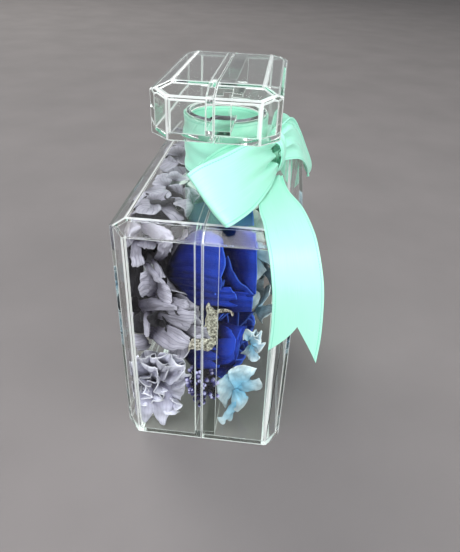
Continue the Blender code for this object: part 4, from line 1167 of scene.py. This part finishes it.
HUSK_LOBES = [
    [[(207.7, 334.2, -46.4), (213.1, 335.3, -47), (218.5, 333.5, -46.4)],
     [(206.2, 322.7, -47), (212.3, 322.7, -48.2), (220, 322.7, -47)],
     [(205.7, 312.7, -47.2), (210.8, 311.9, -48.4), (217.4, 310.4, -47.4)],
     [(207.5, 301.5, -47.6), (208.2, 301.2, -47.9), (208.9, 301.9, -47.7)]],
    [[(213.8, 316.5, -47), (214.3, 311.9, -48), (213.1, 307.3, -47.4)],
     [(221.0, 311.6, -47.4), (221.2, 309.9, -48.2), (221.0, 308.3, -47.6)],
     [(228.6, 310.7, -47.8), (228.8, 309.8, -48.4), (228.8, 308.9, -48)],
     [(233.3, 314.5, -48), (234.1, 313.9, -48.4), (234.6, 313.1, -48.2)]],
    [[(216.2, 334.2, -46.2), (216.9, 337.3, -47.2), (216.2, 342.7, -46.6)],
     [(203.8, 335.8, -47), (204.6, 341.2, -48.2), (205.4, 348.8, -47.4)],
     [(193.1, 336.2, -47.6), (191.5, 341.9, -48.6), (190.8, 349.6, -48)],
     [(188.2, 338.8, -48), (186.3, 344.2, -48.5), (186.9, 350.7, -48.2)]],
    [[(206.9, 338.1, -46.4), (205.4, 342.7, -47), (202.3, 346.5, -46.6)],
     [(213.1, 337.3, -47.4), (211.5, 344.2, -48.2), (206.9, 350.4, -47.6)],
     [(219.8, 331.9, -47), (216.2, 339.6, -47.6), (210, 349.6, -47.2)]],
    [[(202.3, 333.5, -45.4), (210, 334.2, -45.8), (217.7, 331.9, -45.4)],
     [(203.5, 325.8, -45.6), (210.8, 325.8, -46), (219.2, 325.8, -45.6)],
     [(204.2, 316.5, -46), (210, 315, -46.4), (216.9, 316.5, -46)]],
]
HUSK_THICKNESS = 0.45


def husk(name, node, seed):
    sheet, u, t = flat_petal(16, 22)
    planes = room_of(node, 1.2)
    shapes = []
    for index, rows in enumerate(HUSK_LOBES):
        points = creased(sewn(u * 0.8, t, rows), seed + index, 0.25, 2.5)
        points = wobble(points, seed + 50 + index, 0.10, 1.0)
        shapes.append((keep_in(points, planes), 0.5))
    settle(gather_up(name, shapes, sheet, husk_skin, HUSK_THICKNESS), node)


husk("dried_husk", "seed_pod", 12)

# %% [markdown]
# The ribbon is a double-faced satin, 18 mm wide. The floating threads run along it and give it a streaked
# shine that is wide across and narrow along; its colour is also painted lighter and darker in streaks
# along them, a painted sheen. A stitched selvage runs down both edges, and it is drawn coarser than the
# real one so that it shows.

# %% Satin material
SELVAGE_MIDDLE = 0.452
SELVAGE_HALF = 0.010
STITCH_TURNS = 620.0
THREADS = (6.0, 260.0, 1.0)
satin, tree, shader = new_material("polyester_satin_mint", "#a6ecd6", Roughness=0.38, Anisotropic=0.5,
                                   Sheen_Weight=0.3, Sheen_Roughness=0.35, Specular_IOR_Level=0.5)
shader.inputs["Sheen Tint"].default_value = linear("#e6fff0")
shader.inputs["Specular Tint"].default_value = linear("#fffdf0")
place = add_node(tree, "TexCoord")
threads = add_node(tree, "Mapping", Vector=place.outputs["UV"], Scale=THREADS)
streak = add_node(tree, "TexNoise", Vector=threads.outputs[0], Scale=1.0, Detail=3.0)
# The colour streaks along the threads are a painted sheen; the same streaks also bump the cloth.
tint = add_node(tree, "ValToRGB", {"stops": [(0.30, "#98e1c8"), (0.72, "#acead4")]},
                Fac=streak.outputs["Fac"])
own = add_node(tree, "SeparateXYZ", Vector=place.outputs["UV"])
off = add_node(tree, "Math", {"operation": "SUBTRACT"}, i0=own.outputs["Y"], i1=0.5)
apart = add_node(tree, "Math", {"operation": "ABSOLUTE"}, i0=off.outputs[0])
near = add_node(tree, "Math", {"operation": "COMPARE"}, i0=apart.outputs[0], i1=SELVAGE_MIDDLE,
                i2=SELVAGE_HALF)
count = add_node(tree, "Math", {"operation": "MULTIPLY"}, i0=own.outputs["X"], i1=STITCH_TURNS)
stitch = add_node(tree, "Math", {"operation": "SINE"}, i0=count.outputs[0])
mark = add_node(tree, "Math", {"operation": "MULTIPLY_ADD"}, i0=stitch.outputs[0], i1=0.35, i2=0.6)
seam = add_node(tree, "Math", {"operation": "MULTIPLY"}, i0=near.outputs[0], i1=mark.outputs[0])
edged = add_node(tree, "Mix", {"data_type": "RGBA"}, i0=seam.outputs[0], i6=tint.outputs["Color"],
                 i7=linear("#6fcdb0"))
tree.links.new(edged.outputs[2], shader.inputs["Base Color"])
relief = add_node(tree, "Math", {"operation": "MULTIPLY_ADD"}, i0=seam.outputs[0], i1=-1.2,
                  i2=streak.outputs["Fac"])
bump = add_node(tree, "Bump", Height=relief.outputs[0], Strength=0.25, Distance=0.12 * MM)
tree.links.new(bump.outputs[0], shader.inputs["Normal"])
run = add_node(tree, "Tangent", {"direction_type": "UV_MAP"})
tree.links.new(run.outputs[0], shader.inputs["Tangent"])

# %% [markdown]
# Each loop and tail is one strip of ribbon. It starts as a flat grid whose map runs along and across the
# ribbon, so the threads follow it, and it is stretched between a lower and an upper edge line. Pleats
# gather it where the knot holds it, and a swallow tail is cut into a loose end.

# %% Ribbon strips
RIBBON_SHEET = 0.34
RIBBON_CROSS = 24


def finish_cloth(sheet, smooth):
    """Give a shaped ribbon its satin and its thickness, and smooth its folds."""
    sheet.data.materials.append(satin)
    thicken(sheet, RIBBON_SHEET)
    bpy.ops.object.shade_smooth_by_angle(angle=math.radians(smooth))
    return sheet


def strip(name, stations, steps, pleats=(0.0, 0.0), notch=0.0, sway=0.12):
    """A ribbon sheet; pleats are how deep it is gathered at its start and end, sway its slow waves."""
    sheet, co = flat_grid(name, steps, RIBBON_CROSS)
    side, share = (co[:, 1] + 1) / 2, (co[:, 0] + 1) / 2
    share = share - notch * (1 - np.abs(2 * side - 1)) * share ** 4
    low_line, high_line = ([station[edge] for station in stations] for edge in (0, 1))
    lower = on_curve(low_line, share)
    upper = on_curve(high_line, share)
    ahead = on_curve(low_line, np.minimum(share + 0.01, 1.0))
    behind = on_curve(low_line, np.maximum(share - 0.01, 0.0))
    normal = np.cross(ahead - behind, upper - lower)
    normal /= np.maximum(np.linalg.norm(normal, axis=1), 1e-9)[:, None]
    depth = pleats[0] * np.exp(-(share / 0.17) ** 2) + pleats[1] * np.exp(-((1 - share) / 0.17) ** 2)
    crease = np.sin(side * math.tau * 3.0 + 0.6) + 0.4 * np.sin(side * math.tau * 5.0 + 2.0)
    slow = sway * np.sin(share * 9.0 + side * 3.0)
    place_points(sheet, lower + (upper - lower) * side[:, None] + normal * (depth * crease + slow)[:, None])
    return finish_cloth(sheet, 50)


def declare(sheet, node):
    """Settle a strip of ribbon on the case in place of its CAD node."""
    settle(sheet, node)


# %% [markdown]
# The bow was read from the photograph: at each station along a strip stand a point of its lower edge and
# one of its upper edge, in millimetres. The far tail is mostly hidden and mirrors the near one.

# %% Loops and tails of the bow
NEAR_LOOP = [((-9.6, -20.2, 93.0), (-9.6, -17.0, 104.0)), ((-18, -19.6, 93.0), (-17, -13.2, 106.0)),
             ((-28, -17.6, 93.0), (-26.5, -8.4, 107.4)), ((-39, -14.0, 92.4), (-36.0, -3.0, 107.0)),
             ((-47.5, -9.6, 91.9), (-42.6, 2.6, 106.0)), ((-49.6, -7.4, 91.5), (-44.6, 6.0, 103.8)),
             ((-45.0, -5.6, 91.4), (-39.5, 6.6, 101.6)), ((-37, -5.6, 91.4), (-30.0, 4.6, 101.5)),
             ((-29, -8.0, 91.4), (-22.5, 1.6, 102.5)),
             ((-22, -11.0, 91.6), (-18.5, -2.2, 104.0)), ((-16, -13.7, 91.9), (-15.2, -7.6, 105.0)),
             ((-9.8, -16.4, 92.6), (-10.4, -13.2, 104.6))]
FAR_LOOP = [((2.6, -20.2, 92.6), (2.9, -17.6, 104.0)), ((7.0, -23.4, 91.8), (12.0, -23.2, 106.0)),
            ((11.5, -27.2, 90.2), (20.0, -27.4, 99.2)), ((15.5, -30.4, 86.6), (27.0, -30.6, 90.6)),
            ((19.0, -32.2, 82.0), (33.0, -33.4, 81.5)), ((21.5, -32.2, 79.4), (36.0, -33.0, 76.6)),
            ((23.5, -30.4, 83.0), (37.0, -31.0, 80.5)), ((22.8, -29.8, 88.6), (35.5, -29.2, 90.4)),
            ((18.0, -24.0, 92.8), (28.0, -22.0, 101.5)), ((10.5, -18.8, 93.0), (16.0, -16.8, 105.8)),
            ((2.6, -16.9, 92.8), (3.0, -16.0, 104.6))]
NEAR_TAIL = [((-9.5, -16.6, 91.1), (-8.5, -21.6, 91.2)), ((-20, -14.2, 91.1), (-13.5, -22.4, 91.2)),
             ((-36, -15.1, 91.1), (-21.5, -24.2, 91.2)), ((-46.5, -17.0, 91.5), (-33.0, -28.4, 91.4)),
             ((-54.0, -18.3, 90.8), (-43.5, -31.6, 89.6)), ((-58.0, -19.7, 87.6), (-48.6, -33.6, 85.6)),
             ((-60.0, -20.9, 81.0), (-51.0, -36.0, 76.9)), ((-60.0, -21.6, 74.2), (-52.0, -37.2, 68.6)),
             ((-58.4, -22.0, 62.0), (-52.2, -38.0, 56.0)), ((-57.0, -21.8, 52.9), (-52.0, -37.8, 45.0))]
FAR_TAIL = [((2.8, -16.2, 91.2), (2.2, -21.0, 91.2)), ((9.0, -14.2, 91.2), (6.0, -21.0, 91.2)),
            ((15.5, -9.8, 91.1), (12.5, -21.2, 91.1)), ((26.0, -4.5, 91.1), (23.5, -22.0, 91.1)),
            ((38.0, -5.0, 91.1), (36.5, -22.4, 91.1)), ((47.6, -6.0, 91.1), (46.6, -23.6, 91.1)),
            ((53.8, -7.0, 87.2), (53.4, -24.6, 86.8)), ((56.0, -8.0, 79.0), (55.6, -25.6, 78.0)),
            ((55.4, -9.0, 70.0), (55.0, -26.6, 68.4)), ((54.8, -9.6, 62.0), (54.4, -27.0, 59.4))]

LOOPS = (("near", NEAR_LOOP, (0.9, 0.7), 0.9), ("far", FAR_LOOP, (0.8, 0.6), 0.7))
for end, stations, pleats, sway in LOOPS:
    loop = strip(f"satin_loop_{end}", stations, 150, pleats, sway=sway)
    declare(loop, f"ribbon_loop_{end}")
for end, stations in (("near", NEAR_TAIL), ("far", FAR_TAIL)):
    tail = strip(f"satin_tail_{end}", stations, 120, (0.25, 0.0), notch=0.14)
    declare(tail, f"ribbon_tail_{end}")

# %% [markdown]
# The ribbon goes once round the neck with two slack folds, and the knot is a short band of it wound over
# the gathered middle. Both are closed rings of cloth.

# %% Neck wrap and knot
def ring(name, steps, across, shape):
    """A band whose two ends meet, shaped by a formula of turn and side."""
    band, co = flat_grid(name, steps, across)
    place_points(band, shape(co[:, 0] * math.pi, co[:, 1]))
    bpy.ops.object.mode_set(mode="EDIT")
    bpy.ops.mesh.select_all(action="SELECT")
    bpy.ops.mesh.remove_doubles(threshold=0.01 * MM)
    bpy.ops.mesh.normals_make_consistent(inside=False)
    bpy.ops.object.mode_set(mode="OBJECT")
    return finish_cloth(band, 60)


def wrap_shape(turn, side):
    fold = 0.16 * np.sin(side * 6.0 + 1.5 * np.sin(turn)) + 0.10 * np.sin(side * 11.0 + 2 * np.cos(2 * turn))
    radius = 14.25 + fold
    return np.stack([radius * np.cos(turn), radius * np.sin(turn), 99.5 + 8.9 * side], axis=1)


def knot_shape(turn, side):
    pleat = 0.45 * np.sin(side * 8.5 + 0.8 * np.sin(turn)) + 0.22 * np.sin(side * 15.0 + 1.0)
    pinch = 1.0 - 0.22 * side ** 2
    deep = (3.2 + pleat * 0.6) * pinch
    tall = (6.6 + pleat) * pinch
    return np.stack([-3.5 + 5.5 * side + 0.5 * np.cos(turn), -18.5 + deep * np.cos(turn),
                     98.2 + tall * np.sin(turn)], axis=1)


wrap = ring("satin_neck_wrap", 96, 24, wrap_shape)
settle(wrap, "ribbon_neck_wrap")
knot = ring("satin_knot", 72, 30, knot_shape)
settle(knot, "ribbon_knot")

# %% [markdown]
# The case stands on a plain pale floor in soft daylight. The lamps are large, so that their reflections in
# the plastic are broad and the shadows are faint.

# %% Floor and light
FLOOR_WIDTH = 9.0
FLOOR_DROP = 0.3
bpy.ops.mesh.primitive_plane_add(size=FLOOR_WIDTH, location=(0, 0, -FLOOR_DROP * MM))
floor = bpy.context.active_object
floor.name = "floor"
stone, tree, shader = new_material("pale_matt_floor", "#b9b3ab", Roughness=0.85, Specular_IOR_Level=0.2)
place = add_node(tree, "TexCoord")
grain = add_node(tree, "TexNoise", Vector=place.outputs["Object"], Scale=every(71.43), Detail=6.0)
soft = add_node(tree, "ValToRGB", {"stops": [(0.0, "#726f6e"), (1.0, "#84807f")]}, Fac=grain.outputs["Fac"])
tree.links.new(soft.outputs[0], shader.inputs["Base Color"])
floor.data.materials.append(stone)


def lamp(name, place, size, power, colour):
    """A large square lamp that faces the case."""
    light = bpy.data.lights.new(name, "AREA")
    light.size = size
    light.energy = power
    light.color = linear(colour)[:3]
    holder = bpy.data.objects.new(name, light)
    holder.location = Vector(place)
    holder.rotation_euler = (Vector((0, 0, 0.05)) - holder.location).to_track_quat("-Z", "Y").to_euler()
    bpy.context.scene.collection.objects.link(holder)


lamp("window_above", (-0.38, 0.06, 0.92), 0.46, 6.0, "#fbfaff")
lamp("window_behind_camera", (-1.02, -0.28, 0.33), 0.9, 7.0, "#fdfdff")
lamp("window_left", (-0.85, 0.55, 0.40), 0.6, 5.0, "#fdfdff")
lamp("fill_front", (-0.35, -0.98, 0.22), 0.7, 7.0, "#ffffff")
lamp("window_far", (1.20, 0.90, 1.20), 1.0, 20.0, "#fffdfa")

sky = bpy.data.worlds.new("soft_room")
sky.use_nodes = True
bpy.context.scene.world = sky
tree = sky.node_tree
ground = tree.nodes["Background"]
place = add_node(tree, "TexCoord")
axis = add_node(tree, "SeparateXYZ", Vector=place.outputs["Generated"])
height = add_node(tree, "MapRange", Value=axis.outputs["Z"], From_Min=-0.4, From_Max=0.9)
fade = add_node(tree, "ValToRGB", {"stops": [(0.0, "#d9dadc"), (1.0, "#f6f8fc")]}, Fac=height.outputs[0])
tree.links.new(fade.outputs[0], ground.inputs["Color"])
ground.inputs["Strength"].default_value = 0.38
bpy.context.scene.view_settings.view_transform = "Standard"
